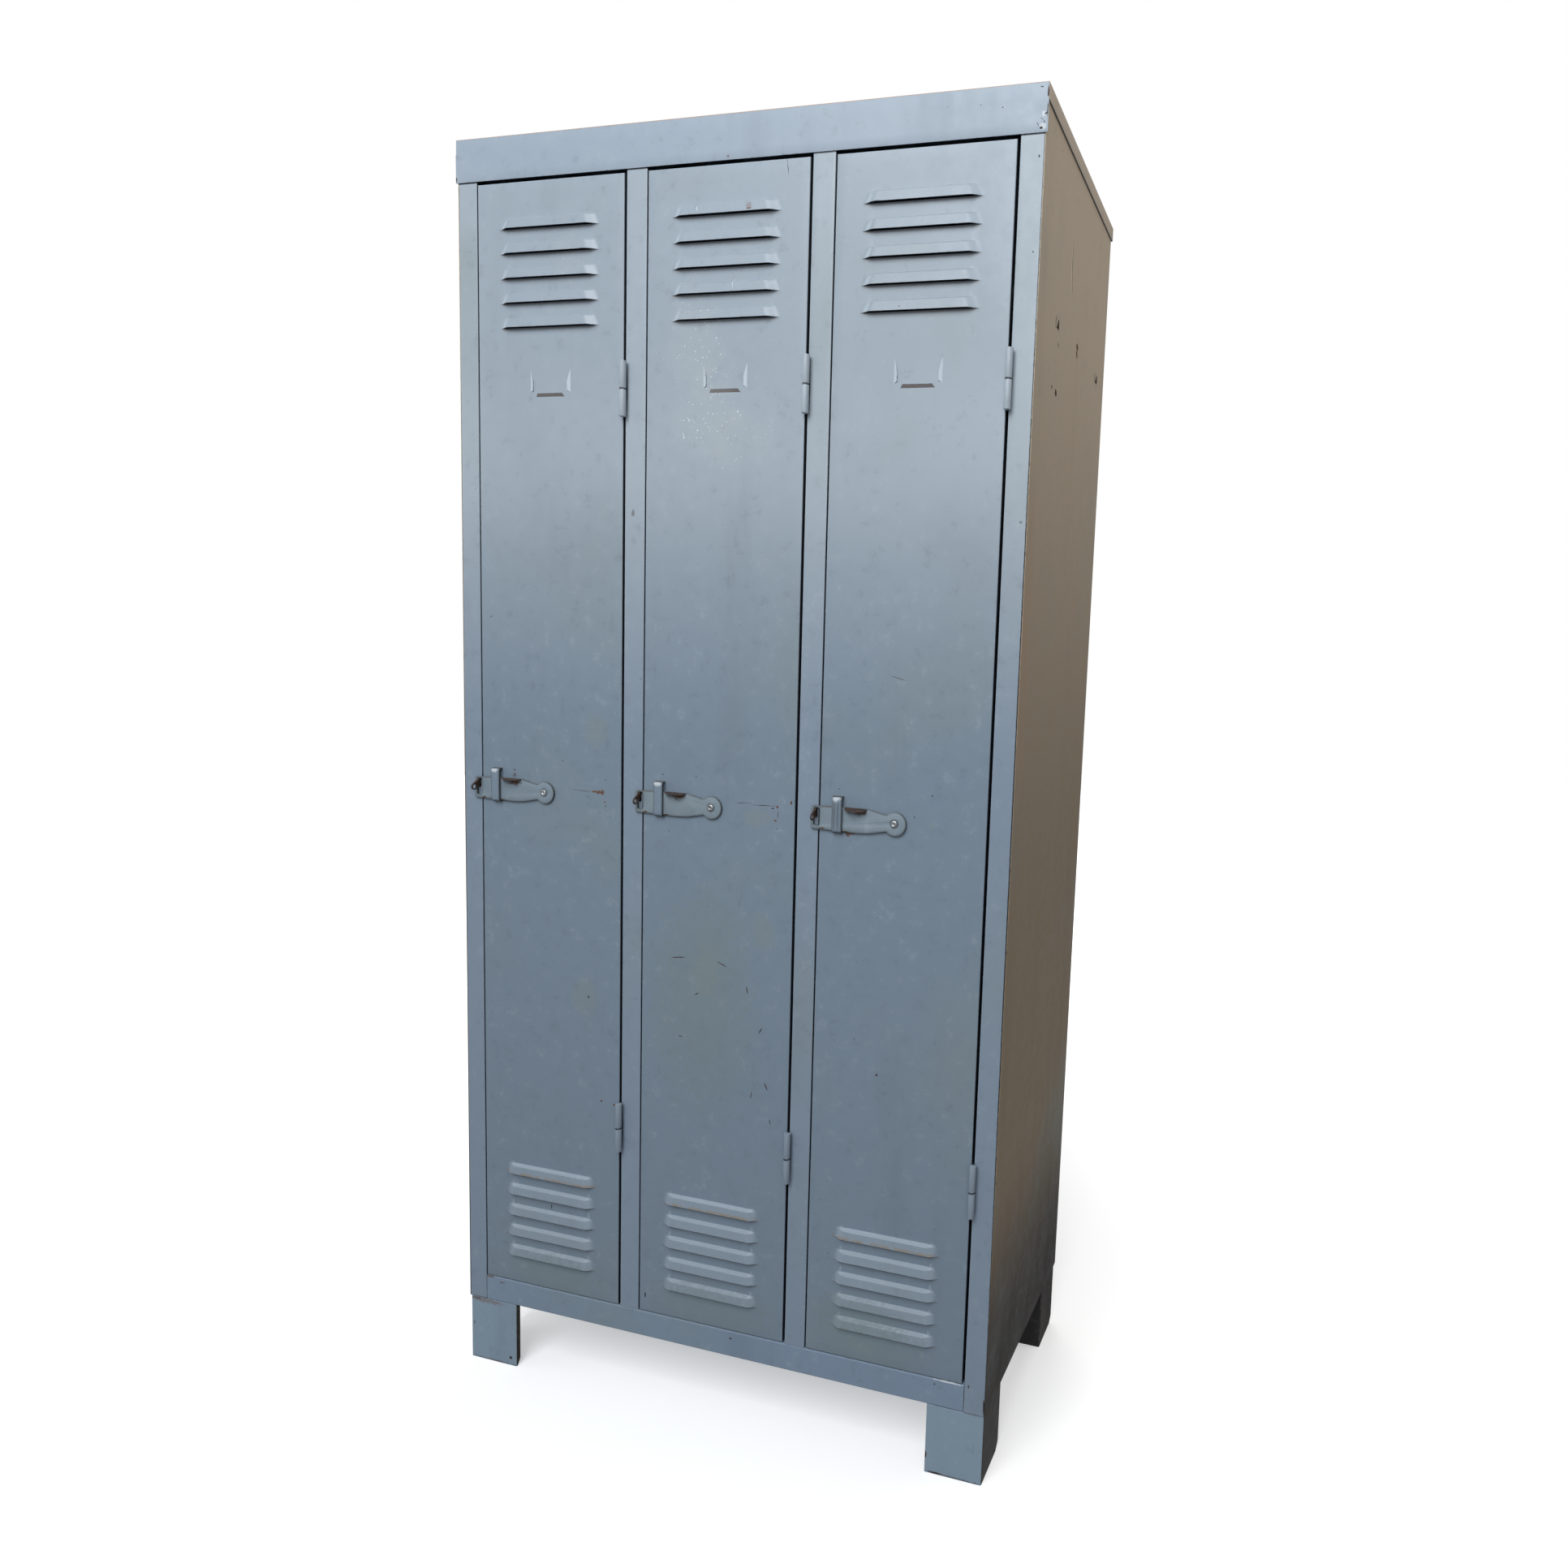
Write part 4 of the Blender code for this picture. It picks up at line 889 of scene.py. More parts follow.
# The latch, from its pivot; depths are behind the front plane
PIVOT_X = 0.1115
PIVOT_Z = 0.909
ARM_BACK = -0.001
ARM_FRONT = -0.0035
ARM_HEAD_X = 0.0005
ARM_HEAD_RADIUS = 0.016
ARM_NECK_ANGLE = 137
ARM_HEAD_STEPS = 48
ARM_BORE = 0.0028
ARM_CORNER = 0.002
ARM_TOP_EDGE = [(-0.039, 0.0169), (-0.071, 0.0172)]
ARM_END_TOP = (-0.1205, 0.0158)
ARM_END_LOW = (-0.1205, -0.0154)
ARM_LOW_EDGE = [(-0.072, -0.0163), (-0.054, -0.0167), (-0.036, -0.0157)]
SLOT = (-0.1167, -0.1081, -0.0105, 0.0136)
SLOT_CORNER = 0.0018
TAB_LEFT = -0.071
TAB_WIDTH = 0.032
TAB_REACH = 0.011
TAB_Z = 0.015
TAB_STEPS = 24
TAB_SQUARENESS = 0.6
TAB_SHEET = 0.0018
TAB_DROOP = {1: 0.02, 2: 0.03, 3: 0.22}

KEEPER_X = -0.0812
KEEPER_WIDTH = 0.014
KEEPER_LOW = -0.0185
KEEPER_HIGH = 0.031
KEEPER_REACH = 0.0077
KEEPER_CORNER = 0.0045
KEEPER_RIBS = (0.0035, 0.0088)
RIB_HEIGHT = 0.0011
RIB_WIDTH = 0.0010

CATCH_RIGHT = -0.0016
CATCH_SHEET = 0.0023
CATCH_HIGH = 0.0131
CATCH_SHOULDER = -0.0045
CATCH_TAIL = 0.008
CATCH_CHAMFER = 0.0012
CATCH_GAP = 0.0003
NOSE = (-0.0115, 0.0013)
NOSE_RADIUS = 0.005
PADLOCK_HOLE = 0.0032

# The hinges, and the shelf tabs lanced out of the side panels
HINGE_DEPTH = -0.0062
HINGE_LEVELS = ("lower", "upper")
BARREL = 0.0046
LEAF = 0.002
LEAF_DEPTH = 0.0145
LEAF_GAP = 0.0003
HINGE_GAP = 0.004
BORE = 0.0033
BORE_REACH = 0.0262
LANCE_DEPTHS = (0.098, 0.341)
LANCE_LOW = 1.5640
LANCE_HIGH = 1.5763
LANCE_WIDTH = 0.014
LANCE_TAB = 0.0100
LANCE_LEAN = 0.0016
LANCE_GAP = 0.0014


def at(x, depth, z):
    """A point given by its distance behind the front plane."""
    return Vector((x, FRONT + depth, z))


def pivot(locker):
    return opening_left(locker) + PIVOT_X


def cap_sheet():
    """The roof sheet with its fascia and its side and rear flanges, folded all round."""
    low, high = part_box("roof_cap")
    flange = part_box("roof_rear_edge")[0].z
    known = {}
    bm = bmesh.new()

    def vert(x, y, z):
        key = (round(x, 5), round(y, 5), round(z, 5))
        if key not in known:
            wave = ripple(x, y, 31.0) * fade(x, low.x, high.x, 0.04) * fade(y, low.y, high.y, 0.04)
            sag = 0.0003 * noise.noise(Vector((x * 9, z * 9, 5))) if near(y, low.y) else 0.0
            known[key] = bm.verts.new((x, y + abs(sag), z - abs(wave)))
        return known[key]

    def cells(across, up, point):
        for a, b in zip(across, across[1:]):
            for c, d in zip(up, up[1:]):
                bm.faces.new([vert(*point(u, v)) for u, v in ((a, c), (b, c), (b, d), (a, d))])

    xs = steps(low.x, high.x, 0.03)
    ys = steps(low.y, high.y, 0.03)
    cells(xs, ys, lambda x, y: (x, y, high.z))
    cells(xs, [low.z, low.z + 0.013, low.z + 0.026, flange, high.z], lambda x, z: (x, low.y, z))
    cells(xs, [flange, high.z], lambda x, z: (high.x + low.x - x, high.y, z))
    cells(ys, [flange, high.z], lambda y, z: (high.x, y, z))
    cells(ys, [flange, high.z], lambda y, z: (low.x, high.y + low.y - y, z))
    return bm


def channel(node, slot=None):
    """A post or mullion: a face with a wall back at each side, and a catch plate's slot in it."""
    low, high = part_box(node)
    bottom, top = low.z, high.z
    path = rounded_path([(low.x, high.y), (low.x, low.y), (high.x, low.y), (high.x, high.y)], CHANNEL_FOLD)
    flats = [low.x + (high.x - low.x) * share for share in (0.25, 0.5, 0.75)]
    if slot:
        flats = [low.x + (high.x - low.x) * share for share in (0.3, 0.6)] + [slot[0]]
    middle = FOLD_STEPS + 2
    path = path[:middle] + [Vector((x, low.y)) for x in flats] + path[middle:]
    heights = steps(bottom, top, 0.03)
    if slot:
        heights = thinned(heights, [slot[2], slot[3]])
        heights = merged(heights, [slot[2], slot[3]])

    def shape(x, y, z):
        return Vector((0, 0.5 * ripple(x * 3, z, low.x * 50), 0)) * fade(z, bottom, top, 0.05)

    def skip(start, end, z):
        middle_x = (start.x + end.x) / 2
        on_face = near(start.y, low.y) and near(end.y, low.y)
        return slot and on_face and slot[0] < middle_x < slot[1] and slot[2] - SAME < z < slot[3] - SAME

    return folded_sheet(path, heights, shape, skip)


def catch_slot(node):
    """The slot that a catch plate comes out of: left, right, bottom, top."""
    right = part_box(node)[1].x + CATCH_RIGHT + CATCH_GAP
    left = right - CATCH_SHEET - 2 * CATCH_GAP
    return left, right + 0.0002, PIVOT_Z - CATCH_GAP, PIVOT_Z + CATCH_HIGH + CATCH_GAP


def side_sheet(side):
    """A side panel with a fold round the back and two shelf tabs lanced inward."""
    node = "left_side_panel" if side < 0 else "right_side_panel"
    low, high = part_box(node)
    outside = low.x if side < 0 else high.x
    fold = high.x if side < 0 else low.x
    edges = [FRONT + depth + half for depth in LANCE_DEPTHS for half in (-LANCE_WIDTH / 2, LANCE_WIDTH / 2)]
    roots = [FRONT + depth + half for depth in LANCE_DEPTHS for half in (-LANCE_TAB / 2, LANCE_TAB / 2)]
    ends = [low.y, high.y - FOLD]
    flats = merged(thinned(steps(*ends, 0.013), edges + roots + ends), edges, roots)
    corner = rounded_path([(outside, low.y), (outside, high.y), (fold, high.y)], FOLD)
    path = [Vector((outside, y)) for y in flats[:-1]] + corner[1:]
    if side < 0:
        path.reverse()
    levels = [LANCE_LOW, LANCE_HIGH]
    heights = merged(thinned(steps(low.z, high.z, 0.015), levels + [low.z, high.z]), levels)

    def shape(x, y, z):
        calm = fade(y, low.y, high.y, 0.06) * fade(z, low.z, high.z, 0.05)
        crease = [(FRONT + 0.158, 1.662, 0.004, 0.045, 11, 0.0005)] if side > 0 else []
        bow = 1.2 * ripple(y, z, 17.0 * side) * calm + dented(y, z, crease)
        return Vector((-side * abs(bow), 0, 0))

    def skip(start, end, z):
        middle = (start.y + end.y) / 2
        in_window = any(a < middle < b for a, b in (edges[:2], edges[2:]))
        return in_window and near(start.x, end.x) and LANCE_LOW - SAME < z < LANCE_HIGH - SAME

    bm = folded_sheet(path, heights, shape, skip)
    bm.verts.ensure_lookup_table()
    for pair in (roots[:2], roots[2:]):
        wanted = [Vector((outside, y, LANCE_HIGH)) for y in pair]
        upper = [min(bm.verts, key=lambda vert: (vert.co - point).length) for point in wanted]
        lean = Vector((-side * LANCE_LEAN, 0, LANCE_LOW - LANCE_HIGH + LANCE_GAP))
        tips = [bm.verts.new(root.co + lean) for root in upper]
        ring = (tips[0], tips[1], upper[1], upper[0])
        bm.faces.new(ring if side > 0 else ring[::-1])
    return bm


def filleted(points, radius, count=5):
    """A closed outline with its corners rounded."""
    rounded = []
    for before, corner, after in zip(points[-1:] + points[:-1], points, points[1:] + points[:1]):
        corner = Vector(corner)
        back = (Vector(before) - corner).normalized()
        ahead = (Vector(after) - corner).normalized()
        half = back.angle(ahead) / 2
        centre = corner + (back + ahead).normalized() * (radius / math.sin(half))
        start = corner + back * (radius / math.tan(half)) - centre
        end = corner + ahead * (radius / math.tan(half)) - centre
        for step in range(count + 1):
            rounded.append(tuple(centre + start.lerp(end, step / count).normalized() * radius))
    return rounded


def arm_plate(locker):
    """The latch arm: a round head at the pivot and a slotted bar."""
    x = pivot(locker)
    head = arc((ARM_HEAD_X, 0), ARM_HEAD_RADIUS, -ARM_NECK_ANGLE, ARM_NECK_ANGLE, ARM_HEAD_STEPS)
    end = filleted([ARM_TOP_EDGE[-1], ARM_END_TOP, ARM_END_LOW, ARM_LOW_EDGE[0]], ARM_CORNER)
    corner = len(end) // 4
    outline = head + ARM_TOP_EDGE + end[corner:3 * corner] + ARM_LOW_EDGE
    left, right, low, high = SLOT
    slot = filleted([(left, low), (right, low), (right, high), (left, high)], SLOT_CORNER)
    hole = circle((0, 0), ARM_BORE)
    return outline_solid([outline, slot, hole], lambda u, v: at(x + u, ARM_FRONT, PIVOT_Z + v),
                         (0, ARM_BACK - ARM_FRONT, 0))


def thumb_tab(locker):
    """The tab folded forward from the arm's top edge, drooping to its rounded tip."""
    half = TAB_WIDTH / 2
    centre = pivot(locker) + TAB_LEFT + half
    root = ARM_FRONT + 0.0008
    outline = []
    for step in range(TAB_STEPS + 1):
        angle = math.pi * step / TAB_STEPS
        reach = TAB_REACH * math.sin(angle) ** TAB_SQUARENESS
        outline.append((centre + half * math.cos(angle), root - reach + 0.0005))
    bm = outline_solid([outline], lambda u, v: at(u, v, PIVOT_Z + TAB_Z), (0, 0, TAB_SHEET))
    slice_grid(bm, 1, [FRONT + root - TAB_REACH * share for share in (0.2, 0.4, 0.6, 0.8)])
    for vert in bm.verts:
        out = max(0.0, FRONT + ARM_FRONT - vert.co.y)
        vert.co.z -= TAB_DROOP[locker] * out * (1 + 20 * out)
    return bm


def keeper_strap(locker):
    """A staple-shaped strap standing out of the door, ribbed on the third one."""
    left = pivot(locker) + KEEPER_X - KEEPER_WIDTH / 2
    low = PIVOT_Z + KEEPER_LOW
    high = PIVOT_Z + KEEPER_HIGH
    path = [(0.0, low), (-KEEPER_REACH, low), (-KEEPER_REACH, high), (0.0, high)]
    profile = rounded_path(path, KEEPER_CORNER)
    flat = [Vector((-KEEPER_REACH, low + KEEPER_CORNER + (high - low - 2 * KEEPER_CORNER) * step / 8))
            for step in range(1, 8)]
    middle = FOLD_STEPS + 2
    profile = profile[:middle] + flat + profile[middle:]
    profile[0].x = -0.0003
    profile[-1].x = -0.0003
    ribs = KEEPER_RIBS if locker == 3 else ()
    bm = bmesh.new()
    rows = []
    for x in steps(0.0, KEEPER_WIDTH, 0.0007):
        rise = sum(RIB_HEIGHT * math.exp(-((x - rib) / RIB_WIDTH) ** 2) for rib in ribs)
        row = []
        for point in profile:
            face = fade(point.y, low + 0.003, high - 0.003, 0.004)
            row.append(bm.verts.new(at(left + x, point.x - rise * face, point.y)))
        rows.append(row)
    for near_row, far_row in zip(rows, rows[1:]):
        for index in range(len(profile) - 1):
            bm.faces.new((near_row[index], far_row[index], far_row[index + 1], near_row[index + 1]))
    return bm


def rivet(locker):
    """A tubular rivet, its rolled head standing in front of the arm."""
    crown = ARM_FRONT - 0.0003
    rim = arc((0.0029, crown), 0.0018, 0, 180, 12)
    profile = [(0, crown - 0.0004), (0.0009, crown - 0.0004)]
    profile += [(radius, 2 * crown - along) for radius, along in reversed(rim)]
    inner = SHEET + 0.0003
    tail = 2 * SHEET + 0.0003
    profile += [(0.0025, crown), (0.0025, inner)]
    profile += [(0.0044, inner), (0.0047, SHEET + 0.0008), (0.0040, tail), (0, tail)]
    return turned(profile, at(pivot(locker), 0, PIVOT_Z), (0, 1, 0), 36)


def catch_plate(locker):
    """A plate that stands out of the post, with a padlock hole in its nose."""
    left = opening_left(locker) + CATCH_RIGHT - CATCH_SHEET
    nose = arc(NOSE, NOSE_RADIUS, 290, 125, 20)
    outline = [(CATCH_TAIL, 0), (CATCH_SHOULDER, 0)] + nose
    outline += [(CATCH_SHOULDER, CATCH_HIGH - CATCH_CHAMFER)]
    outline += [(CATCH_SHOULDER + CATCH_CHAMFER, CATCH_HIGH)]
    outline += [(CATCH_TAIL, CATCH_HIGH)]
    hole = circle(NOSE, PADLOCK_HOLE)
    return outline_solid([outline, hole], lambda u, v: at(left, u, PIVOT_Z + v), (CATCH_SHEET, 0, 0))


def hinge_leaf(locker, level, part):
    """A rolled barrel with its leaf, bored for the pin from the joint between the two barrels."""
    x = opening_right(locker)
    low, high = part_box(f"{level}_hinge_{locker}_{part}")
    leaf_left = x - HINGE_GAP + LEAF_GAP if part == "door_knuckle" else x - LEAF_GAP - LEAF
    leaf_right = leaf_left + LEAF
    start = math.degrees(math.acos((leaf_left - x) / BARREL))
    end = math.degrees(math.acos((leaf_right - x) / BARREL)) + 360
    barrel = arc((x, HINGE_DEPTH), BARREL, start, end, 40)
    outline = barrel + [(leaf_right, LEAF_DEPTH), (leaf_left, LEAF_DEPTH)]
    hole = circle((x, HINGE_DEPTH), BORE)
    mouth, far = (low.z, high.z) if part == "door_knuckle" else (high.z, low.z)
    inward = 1 if far > mouth else -1
    bm = bmesh.new()
    rings = []
    for points, z in ((outline, mouth), (hole, mouth), (outline, far), (hole, mouth + inward * BORE_REACH)):
        rings.append([bm.verts.new(at(u, v, z)) for u, v in points])
    edges = [bm.edges.new((ring[index - 1], ring[index])) for ring in rings[:2] for index in range(len(ring))]
    bmesh.ops.triangle_fill(bm, edges=edges, use_beauty=True)
    for start_ring, end_ring in ((rings[0], rings[2]), (rings[1], rings[3])):
        for index in range(len(start_ring)):
            bm.faces.new((start_ring[index - 1], start_ring[index], end_ring[index], end_ring[index - 1]))
    bm.faces.new(rings[2])
    bm.faces.new(rings[3])
    join_flats(bm)
    return bm


# ------------------------------------------------------------------ assembly

# Marks and zones of dust, as paint() takes them
DOOR_MARKS = {
    1: [
        ("scratch", -0.2235, 0.9165, 19, 0.45, -2, 0.9),
        ("rust", -0.1985, 0.9166, 8, 1.8, 2, 0.5),
        ("rust", -0.1925, 0.9164, 6, 3.0, 2, 0.4),
        ("rust", -0.1868, 0.9162, 4, 5.0, 0, 0.4),
        ("rust", -0.1827, 0.9028, 1.8, 1.8),
        ("chip", -0.1813, 0.8971, 1.2, 1.2),
        ("scratch", -0.2112, 0.9088, 3.0, 0.5, -4, 0.8),
        ("chip", -0.2537, 0.9573, 1.2, 1.5),
        ("rust", -0.1815, 0.9344, 1.6, 1.4),
        ("chip", -0.1907, 0.8869, 1.3, 1.3),
        ("chip", -0.3362, 0.9385, 1.6, 1.6),
        ("shade", -0.3362, 0.9314, 4.0, 4.5, 0, 0.8),
        ("pale", -0.3631, 0.9510, 1.0, 1.0),
        ("rust", -0.1862, 0.4576, 2.2, 2.0),
        ("rust", -0.1639, 0.4549, 3.0, 2.0),
        ("green", -0.1966, 1.0053, 24, 30, 0, 0.8),
        ("green", -0.2160, 0.6105, 26, 40, 0, 0.8),
        ("moss", -0.2700, 0.1700, 120, 40, 0, 0.8),
    ],
    2: [
        ("scratch", 0.0400, 0.9192, 16, 0.5, 3, 0.9),
        ("scratch", 0.0720, 0.9181, 18, 0.6, 2, 0.9),
        ("rust", 0.0910, 0.9175, 2.6, 2.2),
        ("chip", 0.0840, 0.9150, 2.6, 1.0),
        ("scratch", 0.0918, 0.9060, 0.4, 8, 0, 0.9),
        ("rust", 0.0880, 0.8987, 3.0, 1.6, -30),
        ("chip", 0.0906, 0.8876, 1.2, 1.2),
        ("green", 0.0600, 0.9000, 26, 16, 0, 0.8),
        ("chip", -0.0882, 0.9495, 1.2, 1.2),
        ("chip", -0.0354, 0.9502, 1.1, 1.1),
        ("chip", -0.0775, 0.8697, 1.1, 1.1),
        ("stain", 0.0336, 1.6955, 7.0, 5.0, 0, 0.9),
        ("rust", 0.0340, 1.6915, 5.0, 1.4),
        ("pale", 0.0118, 1.6021, 0.7, 9, 4, 0.8),
        ("pale", -0.0420, 1.6960, 1.2, 5, 10, 0.8),
        ("scratch", -0.0600, 0.6900, 14, 1.0, 8, 0.5),
        ("scratch", 0.0100, 0.6880, 10, 0.9, -20, 0.5),
        ("scratch", 0.0500, 0.6550, 1.0, 7, 12, 0.5),
        ("scratch", 0.0720, 0.6000, 1.0, 6, -30, 0.5),
        ("scratch", -0.0300, 0.6400, 6, 0.9, 35, 0.5),
        ("scratch", 0.0830, 0.5200, 1.1, 8, 25, 0.5),
        ("scratch", 0.0600, 0.5050, 1.0, 7, -10, 0.5),
        ("scratch", -0.0550, 0.5750, 5, 1.0, -15, 0.5),
        ("scratch", 0.0900, 0.4700, 1.0, 6, 15, 0.5),
        ("moss", -0.0200, 0.6300, 100, 190, 0, 0.8),
        ("moss", 0.0000, 0.1700, 130, 50, 0, 0.8),
        ("green", -0.0148, 0.6721, 25, 45, 0, 0.8),
        ("green", 0.0730, 0.7406, 22, 30, 0, 0.8),
        ("scratch", 0.0856, 1.7400, 0.5, 12, 8, 0.9),
        ("rust", 0.1116, 0.9250, 1.6, 3.0),
    ],
    3: [
        ("chip", 0.1813, 0.9494, 1.2, 1.2),
        ("pale", 0.1808, 0.9500, 0.8, 0.8),
        ("rust", 0.1985, 0.8905, 9.0, 1.6, 0, 0.9),
        ("rust", 0.1960, 0.8880, 3.0, 3.0, 20, 0.9),
        ("shade", 0.2616, 1.1000, 14, 1.0, -14, 0.3),
        ("chip", 0.2469, 1.5621, 1.1, 1.1),
        ("chip", 0.2900, 0.9200, 0.8, 3.0, 10, 0.6),
        ("green", 0.3140, 0.9110, 4.0, 5.0, 0, 0.8),
        ("chip", 0.3140, 0.9500, 1.4, 1.4),
        ("green", 0.2387, 0.1646, 28, 14, 0, 0.8),
        ("moss", 0.2500, 0.1700, 120, 45, 0, 0.8),
        ("moss", 0.2300, 0.2100, 90, 40, 0, 0.8),
    ],
}
DOOR_DUST = {
    1: [((-0.2441, FRONT, 1.6455), (0.030, 0.035), 0.5)],
    2: [
        ((-0.0500, FRONT, 1.5250), (0.050, 0.085), 1.0),
        ((-0.0250, FRONT, 1.4350), (0.060, 0.075), 1.0),
        ((0.0300, FRONT, 1.4000), (0.060, 0.060), 0.5),
    ],
    3: [],
}
CAP_MARKS = (
    ("tan", 0.0, 1.8116, 900, 1.5, 0, 0.3),
    ("chip", 0.4262, 1.8000, 1.6, 7, 0, 0.8),
    ("chip", 0.4245, 1.7760, 3.0, 1.0, 30, 0.8),
    ("pale", 0.4205, 1.7620, 5.0, 5.0, 0, 0.9),
    ("pale", 0.4215, 1.7760, 3.0, 5.0, 10, 0.9),
    ("seam", 0.4262, 1.7790, 0.9, 12, 0, 0.9),
    ("seam", 0.4150, 1.7640, 0.7, 4.0, 30, 0.9),
    ("seam", 0.4200, 1.7700, 3.5, 0.6, -25, 0.9),
    ("chip", 0.4190, 1.7600, 2.4, 1.8, 0, 0.9),
    ("chip", 0.4225, 1.7670, 1.0, 2.6, 0, 0.9),
    ("chip", 0.4180, 1.8060, 2.6, 1.0, -10, 0.9),
    ("chip", 0.3420, 1.7920, 1.0, 1.0),
    ("chip", 0.3700, 1.7870, 1.0, 1.0),
    ("chip", -0.4268, 1.7597, 2.0, 4.0),
)
SIDE_MARKS = (
    ("rust", 0.2125, 1.5696, 2.2, 2.0, 0, 0.5),
    ("rust", 0.2125, 1.5750, 7.5, 6.5, 0, 0.6),
    ("rust", 0.2125, 1.5650, 7.0, 6.0, 0, 0.6),
    ("chip", 0.1060, 1.4850, 6.0, 6.0, 0, 0.9),
    ("chip", 0.0850, 1.4860, 3.4, 3.0, 0, 0.8),
    ("chip", 0.1080, 1.5450, 6.0, 1.2, 30, 0.8),
    # Painted highlight and painted shade on the two sides of a crease
    ("pale", 0.1600, 1.6620, 2.0, 48.0, -6, 0.4),
    ("seam", 0.1640, 1.6620, 1.2, 44.0, -6, 0.6),
    ("tan", 0.0180, 1.1400, 30.0, 260.0, 0, 0.2),
    ("chip", 0.0410, 1.7931, 1.2, 1.2, 0, 0.5),
    ("chip", 0.0795, 1.7722, 1.3, 1.3, 0, 0.5),
    ("chip", 0.1616, 1.7779, 1.2, 1.2, 0, 0.5),
    ("chip", 0.1077, 1.4826, 1.4, 1.4, 0, 0.5),
)
RAIL_MARKS = (
    ("rust", -0.3850, 0.1410, 8, 1.4, 0, 0.9),
    ("rust", -0.3650, 0.1350, 7, 1.6, 0, 0.9),
    ("scratch", -0.3937, 0.1230, 0.6, 24, 0, 0.4),
    ("scratch", 0.3937, 0.1230, 0.6, 24, 0, 0.4),
    ("shade", 0.3670, 0.1040, 30, 1.0, 0, 0.7),
    ("pale", 0.3700, 0.1416, 27, 1.2, 0, 0.8),
    ("chip", 0.3504, 0.1346, 1.6, 1.6),
    ("rust", 0.0343, 0.1311, 3, 1.4),
)
FOOT_MARKS = (
    ("chip", 0.3412, 0.0263, 2.0, 6.0, 0, 0.8),
    ("shade", 0.3820, 0.0010, 52, 2.6, 0, 0.9),
    ("shade", -0.3820, 0.0010, 52, 2.6, 0, 0.9),
    ("chip", 0.3560, 0.0020, 12, 1.6, 0, 0.9),
    ("chip", -0.3500, 0.0120, 3.5, 3.0, 0, 0.9),
    ("stain", -0.3950, 0.0980, 36, 5.0, 0, 0.9),
    ("shade", -0.4150, 0.0990, 14, 2.0, 0, 0.9),
)
FRAME_MARKS = (
    ("shade", -0.1390, 1.3082, 3, 7, 0, 0.9),
    ("seam", RIGHT_EDGE, 0.9000, 1.6, 900, 0, 0.3),
    ("scratch", 0.4228, 0.1170, 1.5, 15, 2, 0.3),
    ("shade", 0.4060, 0.1035, 24, 1.0, 0, 0.6),
    ("shade", -0.4080, 0.1035, 24, 1.4, 0, 0.6),
    ("chip", 0.4000, 0.1420, 1.2, 4.0, 0, 0.9),
    ("chip", 0.4180, 1.7290, 1.0, 2.0, 0, 0.9),
    ("chip", 0.4160, 1.6200, 1.4, 1.4, 0, 0.9),
)

# Marks on each latch arm and keeper, with x and z from the pivot
ARM_MARKS = (
    # Rust stain and painted shadow under the thumb tab
    ("shade", -0.0530, 0.0125, 15, 5, 0, 0.9),
    ("shade", -0.0500, 0.0115, 9, 7, 0, 0.9),
    ("stain", -0.1000, 0.0160, 18, 1.3, 0, 0.9),
    ("rust", -0.0500, 0.0130, 11, 3.4, 0, 0.9),
    ("rust", -0.1040, -0.0140, 5, 1.6, 0, 0.9),
    ("rust", -0.0710, -0.0160, 6, 1.8, 0, 0.9),
    ("seam", 0.0, 0.0, 7.6, 7.6, 0, 0.2),
)
KEEPER_MARKS = (
    ("pale", KEEPER_X - 0.001, KEEPER_HIGH - 0.003, 8, 5, 0, 0.9),
)


def from_pivot(locker, marks):
    """Marks moved to a locker's latch."""
    return [(kind, pivot(locker) + x, PIVOT_Z + z, *shape) for kind, x, z, *shape in marks]


def hinge_heights():
    """For every hinge its locker, and the bottom, joint and top of its barrels."""
    heights = []
    for locker in LOCKERS:
        for level in HINGE_LEVELS:
            low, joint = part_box(f"{level}_hinge_{locker}_frame_knuckle")
            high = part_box(f"{level}_hinge_{locker}_door_knuckle")[1]
            heights.append((locker, low.z, joint.z, high.z))
    return heights


